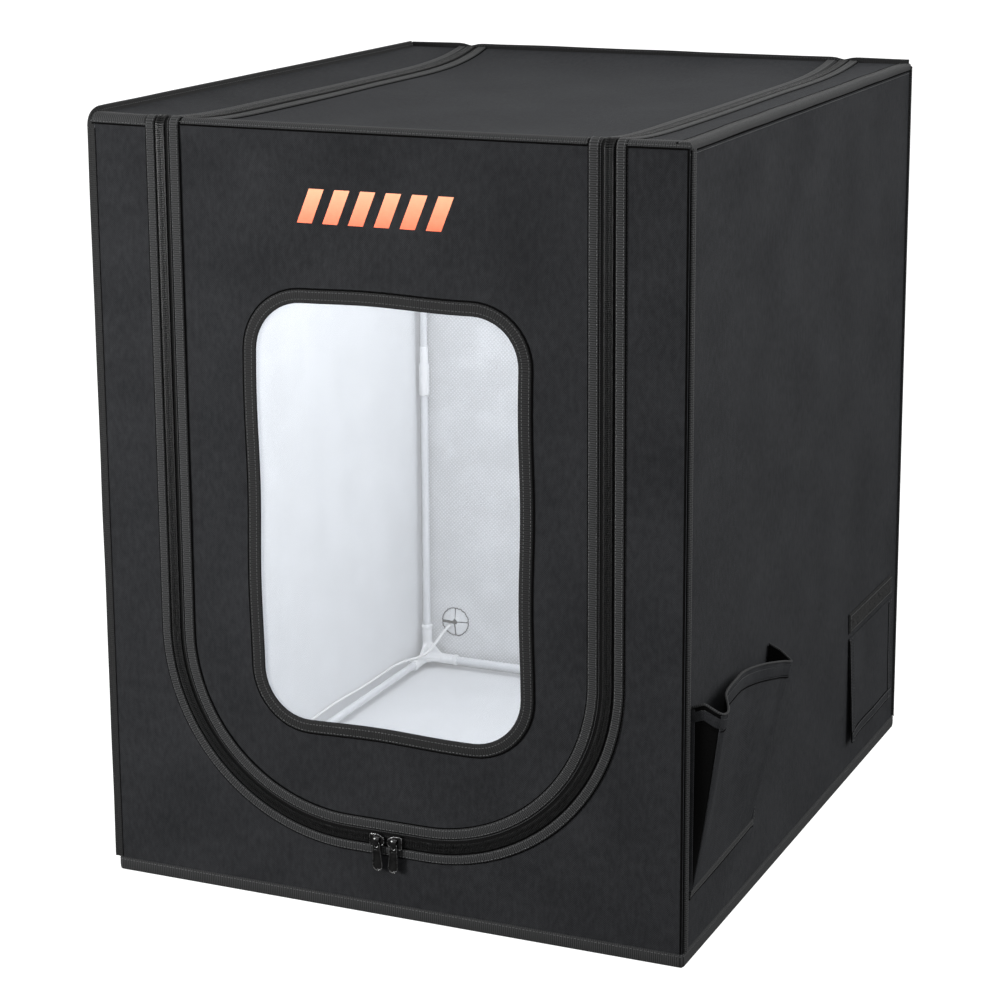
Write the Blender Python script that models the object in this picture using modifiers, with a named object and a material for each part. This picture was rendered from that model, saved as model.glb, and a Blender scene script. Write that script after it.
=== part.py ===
"""A soft enclosure tent for a desktop 3-D printer.

A push-fit frame of white tubes stands inside a sewn black cover. The front and the roof
between the two long zips open as one flap that is sewn to the rear top edge. Metres, +Z up,
the front faces -Y, and the origin is the middle of the floor panel's underside.
"""

import math

import bmesh
import bpy
from mathutils import Matrix

# Driving dimensions of the cover, seam to seam.
WIDTH = 0.550
DEPTH = 0.650
HEIGHT = 0.700
CLOTH = 0.002  # one panel: outer fabric, lining and the hems between them
GAP = 0.0003  # left between pieces that touch
OVERLAP = 0.0001  # keeps the faces of two joined blocks out of one plane

HALF_W = WIDTH / 2
HALF_D = DEPTH / 2
FRONT = -HALF_D
BACK = HALF_D

# Frame of tubes.
TUBE_R = 0.004
TUBE_INSET = 0.0125  # from a face of the cover to the tubes' axis
SOCKET_R = 0.00435  # bore that holds a tube
ARM_R = 0.0055
ARM_LENGTH = 0.038
SOCKET_DEPTH = 0.022  # how far a tube goes into a connector's arm
HUB_ARM = 0.013  # length of the webbed middle of a connector, along each arm
HUB_R = 0.0060
COUPLER_LOW = 0.316
COUPLER_STEP = 0.350
COUPLER_HIGH = 0.371
POST_JOINT = 0.3435
ROUND_SIDES = 12

# The two zips: straight down the front, joined by a U at the bottom, and back over the roof.
ZIP_HALF = 0.207
ZIP_LOW = 0.072
ZIP_R = 0.170
PANEL_GAP = 0.001  # from a zip's middle line to the edge of the cloth
COIL_NEAR = 0.0003
COIL_FAR = 0.0038
COIL_HIGH = 0.0026
TAPE_NEAR = 0.0010
TAPE_FIXED = 0.0150
TAPE_MOVING = 0.0190
TAPE_HIGH = 0.0008

# Clear window in the door.
WINDOW_X = 0.004
WINDOW_Z = 0.361
WINDOW_W = 0.253
WINDOW_H = 0.376
WINDOW_R = 0.045
WINDOW_BINDING = 0.011
FILM = 0.0005

# Bindings sewn over the seams.
BINDING = 0.010
BINDING_HIGH = 0.0024
FLANGE = 0.009  # how far a seam's binding stands out where it isn't folded down
BAND = 0.012  # the bottom band's height

# Hinge lines of the opening.
DOOR_AXIS = (0.0, FRONT + 0.001, HEIGHT - 0.001)
ROOF_AXIS = (0.0, BACK + 0.0015, HEIGHT + 0.0005)
ROOF_START = FRONT + 0.006
ROOF_END = BACK - 0.003

# Zip sliders with their pull tabs.
SLIDER_X = 0.0085
SLIDER_LENGTH = 0.011
SLIDER_HALF_Z = 0.0048
SLIDER_PLATE = 0.0020
SLIDER_WALL = 0.0007
CROWN_W = 0.0024
CROWN_FOOT = 0.0012
CROWN_INSIDE = 0.0019
PULL_W = 0.008
PULL_LENGTH = 0.028
PULL_THICK = 0.0012
PULL_BAR = 0.0013

# Cable port in the back wall, with its cloth leaves.
PORT_X = -0.232
PORT_Z = 0.054
PORT_R = 0.0160
PORT_SLIT = 0.0008
PORT_SLIT_HALF = 0.0140
PORT_EYE = 0.0040

# Cable opening in the right wall, behind its flap.
OPENING_Y = (0.170, 0.290)
OPENING_Z = (0.062, 0.134)
COVER_Y = (0.154, 0.305)
COVER_Z = (0.040, 0.1475)
STRIP_Z = (0.1520, 0.1730)
COVER_AXIS = (HALF_W + 0.0013, 0.2295, 0.1490)

# Bellows pocket on the right wall: (distance behind the front seam, stand-off, height)
# of the mouth, from the front seam round the outer sheet to the rear.
POCKET_MOUTH = (
    (0.0135, 0.0014, 0.229),
    (0.0140, 0.0140, 0.233),
    (0.0170, 0.0250, 0.226),
    (0.026, 0.0270, 0.224),
    (0.060, 0.0170, 0.228),
    (0.110, 0.0120, 0.229),
    (0.160, 0.0160, 0.224),
    (0.195, 0.0230, 0.216),
    (0.211, 0.0260, 0.212),
    (0.216, 0.0140, 0.218),
    (0.220, 0.0014, 0.222),
)
POCKET_FOOT = ((0.0135, 0.063), (0.179, 0.068))  # front and rear ends of the lower seam
POCKET_ROWS = 6
POCKET_SHEET = 0.0011

# White cord from the port, over the corner connector and along the left wall.
CORD_R = 0.0015
CORD_ROUTE = (
    (-0.2375, 0.3208, 0.0500),
    (-0.2420, 0.3140, 0.0440),
    (-0.2470, 0.3040, 0.0340),
    (-0.2530, 0.2930, 0.0240),
    (-0.2610, 0.2800, 0.0203),
    (-0.2675, 0.2640, 0.0205),
    (-0.2705, 0.2400, 0.0210),
    (-0.2712, 0.2000, 0.0205),
    (-0.2712, 0.1750, 0.0207),
    (-0.2712, 0.1500, 0.0215),
    (-0.2712, 0.1250, 0.0227),
    (-0.2712, 0.1000, 0.0235),
    (-0.2712, 0.0750, 0.0232),
    (-0.2712, 0.0500, 0.0225),
    (-0.2712, 0.0300, 0.0217),
    (-0.2712, 0.0100, 0.0210),
)
CORD_STEP = 0.0075

FABRIC = ("black fabric", (0.035, 0.037, 0.040), 0.85, 0.0)
BINDING_LOOK = ("black grosgrain", (0.028, 0.029, 0.031), 0.80, 0.0)
FILM_LOOK = ("clear film", (0.92, 0.95, 0.97), 0.08, 0.0)
ZIP_LOOK = ("zip coil", (0.015, 0.015, 0.016), 0.45, 0.0)
METAL = ("black enamelled metal", (0.02, 0.02, 0.022), 0.25, 0.6)
TUBE_LOOK = ("white coated tube", (0.80, 0.81, 0.83), 0.40, 0.0)
PLASTIC = ("white plastic", (0.92, 0.92, 0.93), 0.45, 0.0)
LOOP_LOOK = ("loop strip", (0.02, 0.02, 0.021), 0.95, 0.0)
CORD_LOOK = ("white cord", (0.93, 0.93, 0.93), 0.55, 0.0)


def clear_scene():
    for obj in list(bpy.data.objects):
        bpy.data.objects.remove(obj, do_unlink=True)


def new_collection(name):
    collection = bpy.data.collections.new(name)
    bpy.context.scene.collection.children.link(collection)
    return collection


def link(obj, collection):
    for other in list(obj.users_collection):
        other.objects.unlink(obj)
    collection.objects.link(obj)
    return obj


def material(name, look):
    """A Principled material of the piece's own: look is (kind, colour, roughness, metallic)."""
    kind, colour, roughness, metallic = look
    made = bpy.data.materials.new(f"{name} {kind}")
    made.use_nodes = True
    shader = made.node_tree.nodes["Principled BSDF"]
    shader.inputs["Base Color"].default_value = (*colour, 1)
    shader.inputs["Roughness"].default_value = roughness
    shader.inputs["Metallic"].default_value = metallic
    return made


def mesh_object(name, mesh):
    return link(bpy.data.objects.new(name, mesh), CUTTERS)


def box(name, low, high):
    """An axis-aligned block between two corners, with its origin at its middle."""
    size = [b - a for a, b in zip(low, high)]
    middle = [(a + b) / 2 for a, b in zip(low, high)]
    bpy.ops.mesh.primitive_cube_add(size=1, location=middle)
    obj = bpy.context.object
    obj.name = name
    obj.data.transform(Matrix.Diagonal((*size, 1)))
    return link(obj, CUTTERS)


def rod(name, radius, low, high, axis):
    """A cylinder along a row axis from one end's centre to the other's."""
    length = math.dist(low, high)
    middle = [(a + b) / 2 for a, b in zip(low, high)]
    turn = {"x": (0, math.pi / 2, 0), "y": (math.pi / 2, 0, 0), "z": (0, 0, 0)}[axis]
    bpy.ops.mesh.primitive_cylinder_add(
        vertices=ROUND_SIDES, radius=radius, depth=length, location=middle, rotation=turn
    )
    obj = bpy.context.object
    obj.name = name
    obj.data.shade_smooth()
    obj.data.set_sharp_from_angle(angle=math.radians(40))
    return link(obj, CUTTERS)


def flat_piece(name, outlines, plane, low, high):
    """A flat outline, with further outlines as holes, given a thickness from low to high.

    On plane "front" an outline's points are (x, z) and the thickness runs along Y; on "side"
    they are (y, z) and it runs along X; on "roof" they are (x, y) and it runs along Z.
    """
    curve = bpy.data.curves.new(name, "CURVE")
    curve.dimensions = "2D"
    curve.fill_mode = "BOTH"
    curve.extrude = (high - low) / 2
    for outline in outlines:
        spline = curve.splines.new("POLY")
        spline.points.add(len(outline) - 1)
        for point, (a, b) in zip(spline.points, outline):
            point.co = (a, b, 0, 1)
        spline.use_cyclic_u = True
    guide = link(bpy.data.objects.new(f"{name} outline", curve), CUTTERS)
    middle = (low + high) / 2
    if plane == "front":
        turn = Matrix(((1, 0, 0, 0), (0, 0, -1, middle), (0, 1, 0, 0), (0, 0, 0, 1)))
    elif plane == "side":
        turn = Matrix(((0, 0, 1, middle), (1, 0, 0, 0), (0, 1, 0, 0), (0, 0, 0, 1)))
    else:
        turn = Matrix.Translation((0, 0, middle))
    return as_mesh(name, guide, turn)


def as_mesh(name, curve_object, turn=None):
    """The evaluated curve as a mesh object, its caps welded to its sides."""
    bpy.context.view_layer.update()
    graph = bpy.context.evaluated_depsgraph_get()
    mesh = bpy.data.meshes.new_from_object(curve_object.evaluated_get(graph))
    mesh.name = name
    cage = bmesh.new()
    cage.from_mesh(mesh)
    bmesh.ops.remove_doubles(cage, verts=cage.verts, dist=1e-6)
    bmesh.ops.recalc_face_normals(cage, faces=cage.faces)
    cage.to_mesh(mesh)
    cage.free()
    obj = bpy.data.objects.new(name, mesh)
    obj.matrix_world = turn if turn is not None else curve_object.matrix_world.copy()
    bpy.data.objects.remove(curve_object, do_unlink=True)
    return link(obj, CUTTERS)


def tool(obj):
    """Makes an object a hidden Boolean operand."""
    obj.hide_render = True
    obj.display_type = "WIRE"
    return obj


def join(obj, *others):
    for other in others:
        step = obj.modifiers.new(f"join {other.name}", "BOOLEAN")
        step.operation = "UNION"
        step.object = tool(other)
    return obj


def cut(obj, *others):
    for other in others:
        step = obj.modifiers.new(f"cut {other.name}", "BOOLEAN")
        step.operation = "DIFFERENCE"
        step.object = tool(other)
    return obj


def evaluated_mesh(obj):
    """The object's mesh with its modifiers, so that several objects can share it."""
    bpy.context.view_layer.update()
    graph = bpy.context.evaluated_depsgraph_get()
    return bpy.data.meshes.new_from_object(obj.evaluated_get(graph))


def piece(obj, look, pivot=None):
    """Puts a finished object among the parts; pivot moves its origin to a joint's axis."""
    link(obj, PARTS)
    obj.data.materials.clear()
    obj.data.materials.append(material(obj.name, look))
    if pivot:
        bpy.context.view_layer.update()
        turn = Matrix.Translation(pivot)
        obj.data.transform(turn.inverted() @ obj.matrix_world)
        obj.matrix_world = turn
    return obj


def arc(centre, radius, start, end, steps):
    """Points on an arc from one angle to another, in degrees."""
    angles = [math.radians(start + (end - start) * i / steps) for i in range(steps + 1)]
    return [(centre[0] + radius * math.cos(a), centre[1] + radius * math.sin(a)) for a in angles]


def rounded(centre, width, height, radius, steps=8):
    """A rectangle with round corners, anticlockwise."""
    across = width / 2 - radius
    up = height / 2 - radius
    corners = ((1, 1, 0), (-1, 1, 90), (-1, -1, 180), (1, -1, 270))
    points = []
    for sx, sz, start in corners:
        middle = (centre[0] + sx * across, centre[1] + sz * up)
        points += arc(middle, radius, start, start + 90, steps)
    return points


def rectangle(low, high):
    return [low, (high[0], low[1]), high, (low[0], high[1])]


def zip_line(offset, top, steps=12):
    """The U that runs at offset outside the zip's middle line, from top left to top right."""
    half = ZIP_HALF + offset
    radius = ZIP_R + offset
    low = ZIP_LOW - offset
    left = arc((-half + radius, low + radius), radius, 180, 270, steps)
    right = arc((half - radius, low + radius), radius, 270, 360, steps)
    return [(-half, top)] + left + right + [(half, top)]


def zip_band(near, far, top):
    """The outline between two offsets of the zip's middle line."""
    return zip_line(far, top) + zip_line(near, top)[::-1]


def build_connectors():
    """Eight three-way corners: webbed hub, and an arm with a socket along each axis."""
    hub = bmesh.new()
    for turn in (
        Matrix.Identity(4),
        Matrix.Rotation(math.pi / 2, 4, "Y"),
        Matrix.Rotation(-math.pi / 2, 4, "X"),
    ):
        for along in (0, HUB_ARM):
            place = turn @ Matrix.Translation((0, 0, along))
            bmesh.ops.create_circle(hub, segments=ROUND_SIDES, radius=HUB_R, matrix=place)
    bmesh.ops.delete(hub, geom=list(hub.edges), context="EDGES_FACES")
    bmesh.ops.convex_hull(hub, input=list(hub.verts))
    bmesh.ops.delete(hub, geom=[v for v in hub.verts if not v.link_faces], context="VERTS")
    bmesh.ops.recalc_face_normals(hub, faces=list(hub.faces))
    mesh = bpy.data.meshes.new("connector hub")
    hub.to_mesh(mesh)
    hub.free()
    pattern = mesh_object("connector pattern", mesh)
    far, near = ARM_LENGTH, ARM_LENGTH - SOCKET_DEPTH - 0.002
    ends = {"x": lambda d: (d, 0, 0), "y": lambda d: (0, d, 0), "z": lambda d: (0, 0, d)}
    for axis, at in ends.items():
        join(pattern, rod(f"connector arm {axis}", ARM_R, at(HUB_ARM * 0.4), at(far), axis))
    for axis, at in ends.items():
        cut(pattern, rod(f"connector bore {axis}", SOCKET_R, at(near), at(far + 0.01), axis))
    shape = evaluated_mesh(pattern)
    tool(pattern)
    for side, sx in (("left", -1), ("right", 1)):
        for depth, sy in (("front", -1), ("rear", 1)):
            for level, sz in (("bottom", 1), ("top", -1)):
                corner = bpy.data.objects.new(f"corner_connector_{depth}_{side}_{level}", shape.copy())
                corner.location = (
                    sx * (HALF_W - TUBE_INSET),
                    sy * (HALF_D - TUBE_INSET),
                    TUBE_INSET if sz > 0 else HEIGHT - TUBE_INSET,
                )
                corner.scale = (-sx, -sy, sz)
                piece(link(corner, PARTS), PLASTIC)


def build_tubes():
    """Four posts of two tubes each, and four rails at the bottom and at the top."""
    reach = ARM_LENGTH - SOCKET_DEPTH
    x = HALF_W - TUBE_INSET
    y = HALF_D - TUBE_INSET
    for level, z in (("bottom", TUBE_INSET), ("top", HEIGHT - TUBE_INSET)):
        for side, sx in (("left", -1), ("right", 1)):
            ends = ((sx * x, -y + reach, z), (sx * x, y - reach, z))
            piece(rod(f"{level}_tube_{side}", TUBE_R, *ends, "y"), TUBE_LOOK)
        for depth, sy in (("front", -1), ("rear", 1)):
            ends = ((-x + reach, sy * y, z), (x - reach, sy * y, z))
            piece(rod(f"{level}_tube_{depth}", TUBE_R, *ends, "x"), TUBE_LOOK)
    for side, sx in (("left", -1), ("right", 1)):
        for depth, sy in (("front", -1), ("rear", 1)):
            at = (sx * x, sy * y)
            low = (*at, TUBE_INSET + reach)
            high = (*at, HEIGHT - TUBE_INSET - reach)
            where = f"{depth}_{side}"
            piece(rod(f"post_lower_{where}", TUBE_R, low, (*at, POST_JOINT - GAP), "z"), TUBE_LOOK)
            piece(rod(f"post_upper_{where}", TUBE_R, (*at, POST_JOINT + GAP), high, "z"), TUBE_LOOK)
            build_coupler(f"post_coupler_{where}", at)


def build_coupler(name, at):
    """A turned sleeve, wide below and narrower above its step."""
    wide, slim = 0.00575, 0.0050
    profile = (
        (SOCKET_R, COUPLER_HIGH),
        (slim, COUPLER_HIGH),
        (slim, COUPLER_STEP + 0.003),
        (wide, COUPLER_STEP),
        (wide, COUPLER_LOW),
        (SOCKET_R, COUPLER_LOW),
    )
    mesh = bpy.data.meshes.new(name)
    edges = [(i, (i + 1) % len(profile)) for i in range(len(profile))]
    mesh.from_pydata([(r, 0, z) for r, z in profile], edges, [])
    sleeve = mesh_object(name, mesh)
    sleeve.location = (*at, 0)
    turn = sleeve.modifiers.new("turn", "SCREW")
    turn.steps = turn.render_steps = ROUND_SIDES
    turn.use_merge_vertices = True
    turn.merge_threshold = 0.00001
    turn.use_smooth_shade = True
    piece(sleeve, PLASTIC)


def build_walls():
    """Floor, side walls, back wall, the front around the door, and the roof's side strips."""
    under_roof = HEIGHT - CLOTH - GAP
    on_floor = CLOTH + GAP
    piece(box("floor_panel", (-HALF_W, FRONT, 0), (HALF_W, BACK, CLOTH)), FABRIC)
    piece(box("left_wall", (-HALF_W, FRONT, on_floor), (-HALF_W + CLOTH, BACK, under_roof)), FABRIC)
    opening = rectangle((OPENING_Y[0], OPENING_Z[0]), (OPENING_Y[1], OPENING_Z[1]))
    side = rectangle((FRONT, on_floor), (BACK, under_roof))
    piece(flat_piece("right_wall", [side, opening], "side", HALF_W - CLOTH, HALF_W), FABRIC)
    edge = HALF_W - CLOTH - GAP
    wall = rectangle((-edge, on_floor), (edge, under_roof))
    port = arc((PORT_X, PORT_Z), PORT_R, 0, 345, 23)
    piece(flat_piece("back_wall", [wall, port], "front", BACK - CLOTH, BACK), FABRIC)
    front = [(-edge, under_roof), (-edge, on_floor), (edge, on_floor), (edge, under_roof)]
    front += zip_line(PANEL_GAP, under_roof)[::-1]
    piece(flat_piece("front_panel", [front], "front", FRONT, FRONT + CLOTH), FABRIC)
    strip = ZIP_HALF + PANEL_GAP
    for side, low, high in (("left", -HALF_W, -strip), ("right", strip, HALF_W)):
        corners = ((low, FRONT, HEIGHT - CLOTH), (high, BACK, HEIGHT))
        piece(box(f"roof_strip_{side}", *corners), FABRIC)


def build_door():
    """The door flap with its window, and the roof flap that it hangs from."""
    top = DOOR_AXIS[2] - 0.0015
    panel = zip_line(-PANEL_GAP, top)
    frame = rounded((WINDOW_X, WINDOW_Z), WINDOW_W, WINDOW_H, WINDOW_R)
    door = flat_piece("door_flap", [panel, frame], "front", FRONT, FRONT + CLOTH)
    piece(door, FABRIC, DOOR_AXIS)
    wide = WINDOW_W + 2 * WINDOW_BINDING
    high = WINDOW_H + 2 * WINDOW_BINDING
    outer = rounded((WINDOW_X, WINDOW_Z), wide, high, WINDOW_R + WINDOW_BINDING)
    behind = FRONT + CLOTH + GAP
    film = flat_piece("window_film", [outer], "front", behind, behind + FILM)
    piece(film, FILM_LOOK, DOOR_AXIS)
    face = FRONT - GAP
    ring = flat_piece("window_binding", [outer, frame], "front", face - TAPE_HIGH, face)
    piece(ring, BINDING_LOOK, DOOR_AXIS)
    half = ZIP_HALF - TAPE_MOVING - 0.001
    low = (-half, FRONT - BINDING_HIGH, HEIGHT - BINDING)
    band = box("door_top_binding", low, (half, FRONT - GAP, HEIGHT - 0.0006))
    piece(band, BINDING_LOOK, DOOR_AXIS)
    inside = ZIP_HALF - PANEL_GAP
    flap = box("roof_flap", (-inside, ROOF_START, HEIGHT - CLOTH), (inside, ROOF_END, HEIGHT))
    piece(flap, FABRIC, ROOF_AXIS)
    rear = (half, BACK, HEIGHT + FLANGE)
    seam = box("rear_top_binding", (-half, BACK - BINDING_HIGH, HEIGHT + GAP), rear)
    piece(seam, BINDING_LOOK, ROOF_AXIS)


def build_zips():
    """Each zip half is a flat tape with its coil along the edge that meets the other half."""
    face = FRONT - GAP
    lid = HEIGHT + GAP
    tape_top = lid + TAPE_HIGH
    coil_top = lid + COIL_HIGH
    fixed = flat_piece(
        "fixed_zip", [zip_band(TAPE_NEAR, TAPE_FIXED, tape_top - OVERLAP)],
        "front", face - TAPE_HIGH, face,
    )
    join(fixed, flat_piece(
        "fixed coil", [zip_band(COIL_NEAR, COIL_FAR, coil_top - OVERLAP)],
        "front", face - COIL_HIGH, face - OVERLAP,
    ))
    for side in (-1, 1):
        for part, near, far, thick, low in (
            ("tape", TAPE_NEAR, TAPE_FIXED, TAPE_HIGH, 0),
            ("coil", COIL_NEAR, COIL_FAR, COIL_HIGH, OVERLAP),
        ):
            edges = sorted((side * (ZIP_HALF + near + OVERLAP), side * (ZIP_HALF + far - OVERLAP)))
            join(fixed, box(
                f"fixed roof {part} {side}",
                (edges[0], face - thick + OVERLAP, lid + low),
                (edges[1], ROOF_END - low, lid + thick),
            ))
    piece(fixed, ZIP_LOOK)

    top = HEIGHT - 0.0008
    moving = flat_piece(
        "door_zip", [zip_band(-TAPE_MOVING, -TAPE_NEAR, top)], "front", face - TAPE_HIGH, face
    )
    coil = flat_piece(
        "door coil", [zip_band(-COIL_FAR, -COIL_NEAR, top - OVERLAP)],
        "front", face - COIL_HIGH, face - OVERLAP,
    )
    piece(join(moving, coil), ZIP_LOOK, DOOR_AXIS)
    for name, side in (("roof_zip_left", -1), ("roof_zip_right", 1)):
        edges = sorted((side * (ZIP_HALF - TAPE_NEAR), side * (ZIP_HALF - TAPE_MOVING)))
        tape = box(name, (edges[0], ROOF_START, lid), (edges[1], ROOF_END, tape_top))
        edges = sorted((side * (ZIP_HALF - COIL_NEAR), side * (ZIP_HALF - COIL_FAR)))
        coil = box(
            f"{name} coil",
            (edges[0], ROOF_START + OVERLAP, lid + OVERLAP),
            (edges[1], ROOF_END - OVERLAP, coil_top),
        )
        piece(join(tape, coil), ZIP_LOOK, ROOF_AXIS)


def build_sliders():
    """Two sliders, nose to nose at the bottom of the U, with a pull tab under each crown."""
    coil_face = FRONT - GAP - COIL_HIGH
    back = coil_face - 0.0004
    front = back - SLIDER_PLATE
    bar_y = front - CROWN_INSIDE / 2
    for side, sx in (("left", -1), ("right", 1)):
        x = sx * SLIDER_X
        half = SLIDER_LENGTH / 2
        z = ZIP_LOW
        low_corner = (x - half, front, z - SLIDER_HALF_Z)
        body = box(f"zip_slider_{side}", low_corner, (x + half, back, z + SLIDER_HALF_Z))
        lip = FRONT - GAP - TAPE_HIGH - 0.0004
        for edge, sz in (("lower", -1), ("upper", 1)):
            near, far = sorted((z + sz * SLIDER_HALF_Z, z + sz * (SLIDER_HALF_Z - SLIDER_WALL)))
            join(body, box(
                f"slider {side} {edge} wall", (x - half, back - 0.001, near), (x + half, lip, far)
            ))
            near, far = sorted((z + sz * 0.0040, z + sz * (0.0040 - CROWN_FOOT)))
            join(body, box(
                f"slider {side} {edge} foot",
                (x - CROWN_W / 2, front - CROWN_INSIDE - 0.001, near),
                (x + CROWN_W / 2, front + 0.001, far),
            ))
        join(body, box(
            f"slider {side} crown",
            (x - CROWN_W / 2, front - CROWN_INSIDE - 0.001, z - 0.0035),
            (x + CROWN_W / 2, front - CROWN_INSIDE, z + 0.0035),
        ))
        piece(body, METAL, (x, bar_y, z))
        middle = (x, z + PULL_BAR / 2 - PULL_LENGTH / 2)
        tab = rounded(middle, PULL_W, PULL_LENGTH, 0.0025, 4)
        eye = rectangle((x - 0.0024, z - PULL_BAR / 2 - 0.0048), (x + 0.0024, z - PULL_BAR / 2))
        low = bar_y - PULL_THICK / 2
        pull = flat_piece(f"pull_tab_{side}", [tab, eye], "front", low, low + PULL_THICK)
        piece(pull, METAL, (x, bar_y, z))


def build_port():
    """A disc of cloth with a cross slit and a small eye, which makes its four leaves."""
    disc = arc((PORT_X, PORT_Z), PORT_R - GAP, 0, 345, 23)
    eye = arc((PORT_X, PORT_Z), PORT_EYE, 0, 330, 11)
    leaves = flat_piece("cable_port", [disc, eye], "front", BACK - 0.0015, BACK - 0.0003)
    for name, across, up in (
        ("level", PORT_SLIT_HALF, PORT_SLIT / 2),
        ("upright", PORT_SLIT / 2, PORT_SLIT_HALF),
    ):
        cut(leaves, box(
            f"port slit {name}",
            (PORT_X - across, BACK - 0.01, PORT_Z - up),
            (PORT_X + across, BACK + 0.01, PORT_Z + up),
        ))
    piece(leaves, FABRIC)


def build_cable_cover():
    """The flap over the cable opening, hung under its hook-and-loop strip."""
    face = HALF_W + GAP
    flap = box("cable_cover", (face, COVER_Y[0], COVER_Z[0]), (face + CLOTH, COVER_Y[1], COVER_Z[1]))
    piece(flap, FABRIC, COVER_AXIS)
    strip = box(
        "cable_cover_strip", (face, COVER_Y[0], STRIP_Z[0]), (face + 0.0025, COVER_Y[1], STRIP_Z[1])
    )
    piece(strip, LOOP_LOOK)


def build_pocket():
    """A bellows pocket: a sheet lofted from its straight lower seam to its wide mouth."""
    (front_y, front_z), (rear_y, rear_z) = POCKET_FOOT
    reach = POCKET_MOUTH[-1][0] - POCKET_MOUTH[0][0]
    points = []
    for row in range(POCKET_ROWS + 1):
        v = row / POCKET_ROWS
        for y, out, z in POCKET_MOUTH:
            share = (y - POCKET_MOUTH[0][0]) / reach
            foot_y = front_y + (rear_y - front_y) * share
            foot_z = front_z + (rear_z - front_z) * share
            seam = POCKET_MOUTH[0][1]
            points.append((
                HALF_W + seam + (out - seam) * v,
                FRONT + foot_y + (y - foot_y) * v,
                foot_z + (z - foot_z) * v,
            ))
    columns = len(POCKET_MOUTH)
    faces = [
        (r * columns + c, r * columns + c + 1, (r + 1) * columns + c + 1, (r + 1) * columns + c)
        for r in range(POCKET_ROWS)
        for c in range(columns - 1)
    ]
    mesh = bpy.data.meshes.new("side_pocket")
    mesh.from_pydata(points, [], faces)
    pocket = mesh_object("side_pocket", mesh)
    sheet = pocket.modifiers.new("sheet", "SOLIDIFY")
    sheet.thickness = POCKET_SHEET
    sheet.offset = 1
    piece(pocket, FABRIC)


def build_bindings():
    """Ribbed tape over the seams: front corners, the band round the bottom, and the rest."""
    low, high = BAND + GAP, HEIGHT - BINDING - GAP
    strips = {
        "corner_binding_left": ((-HALF_W - FLANGE, FRONT), (-HALF_W - GAP, FRONT + BINDING_HIGH)),
        "corner_binding_right": (
            (HALF_W + GAP, FRONT + 0.001), (HALF_W + BINDING_HIGH, FRONT + 0.001 + BINDING)
        ),
    }
    for name, (a, b) in strips.items():
        piece(box(name, (*a, low), (*b, high)), BINDING_LOOK)
    out, near = BINDING_HIGH, GAP
    ring = flat_piece(
        "bottom_binding",
        [
            rectangle((-HALF_W - out, FRONT - out), (HALF_W + out, BACK + out)),
            rectangle((-HALF_W - near, FRONT - near), (HALF_W + near, BACK + near)),
        ],
        "roof", GAP, BAND,
    )
    piece(ring, BINDING_LOOK)
    build_edge_bindings(low)


def build_edge_bindings(low):
    """One strip a side: along the roof edge, round its ends and down the rear corner.

    It stands up at the left and along the rear, and is folded down on the roof at the right.
    """
    lid = HEIGHT + GAP
    fold = HEIGHT + BINDING_HIGH
    ahead = FRONT - BINDING_HIGH
    inner = ZIP_HALF + TAPE_FIXED + 0.0005
    outer = HALF_W + 0.001
    for side, sx, width, top in (
        ("left", -1, BINDING_HIGH, HEIGHT + BINDING), ("right", 1, BINDING, fold)
    ):
        def across(a, b):
            return sorted((sx * a, sx * b))

        lengthwise = across(HALF_W - width, outer)
        front = across(inner, outer)
        corner = across(HALF_W + GAP, HALF_W + FLANGE)
        rear = (BACK - BINDING_HIGH, BACK)
        strip = box(
            f"edge_binding_{side}", (lengthwise[0], ahead, lid), (lengthwise[1], BACK, top)
        )
        join(strip, box(
            f"front end {side}", (front[0], ahead, HEIGHT - BINDING), (front[1], FRONT - GAP, fold)
        ))
        join(strip, box(
            f"rear end {side}", (front[0], rear[0], lid), (front[1], rear[1], HEIGHT + FLANGE)
        ))
        join(strip, box(
            f"rear corner {side}", (corner[0], rear[0], low), (corner[1], rear[1], HEIGHT + FLANGE)
        ))
        piece(strip, BINDING_LOOK)


def smooth_route(route, step):
    """Points about step apart on a smooth curve through the route's points."""
    points = []
    for i in range(len(route) - 1):
        before = route[max(i - 1, 0)]
        a, b = route[i], route[i + 1]
        after = route[min(i + 2, len(route) - 1)]
        count = max(1, round(math.dist(a, b) / step))
        for j in range(count):
            t = j / count
            points.append(tuple(
                0.5 * (2 * q + (r - p) * t + (2 * p - 5 * q + 4 * r - s) * t * t
                       + (3 * q - p - 3 * r + s) * t ** 3)
                for p, q, r, s in zip(before, a, b, after)
            ))
    return points + [route[-1]]


def build_cord():
    curve = bpy.data.curves.new("port_cord", "CURVE")
    curve.dimensions = "3D"
    curve.bevel_depth = CORD_R
    curve.bevel_resolution = 2
    curve.use_fill_caps = True
    spline = curve.splines.new("POLY")
    points = smooth_route(CORD_ROUTE, CORD_STEP)
    spline.points.add(len(points) - 1)
    for point, co in zip(spline.points, points):
        point.co = (*co, 1)
    piece(link(bpy.data.objects.new("port_cord", curve), PARTS), CORD_LOOK)


clear_scene()
PARTS = new_collection("printer enclosure tent")
CUTTERS = new_collection("cutters")
build_connectors()
build_tubes()
build_walls()
build_door()
build_zips()
build_sliders()
build_port()
build_cable_cover()
build_pocket()
build_bindings()
build_cord()
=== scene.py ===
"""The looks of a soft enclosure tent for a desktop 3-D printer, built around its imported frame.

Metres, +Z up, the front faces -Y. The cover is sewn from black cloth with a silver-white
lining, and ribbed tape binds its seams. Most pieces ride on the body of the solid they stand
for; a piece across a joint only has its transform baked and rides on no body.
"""

import math

import bmesh
import bpy
import numpy as np
from mathutils import Matrix, Vector, geometry, noise


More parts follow.
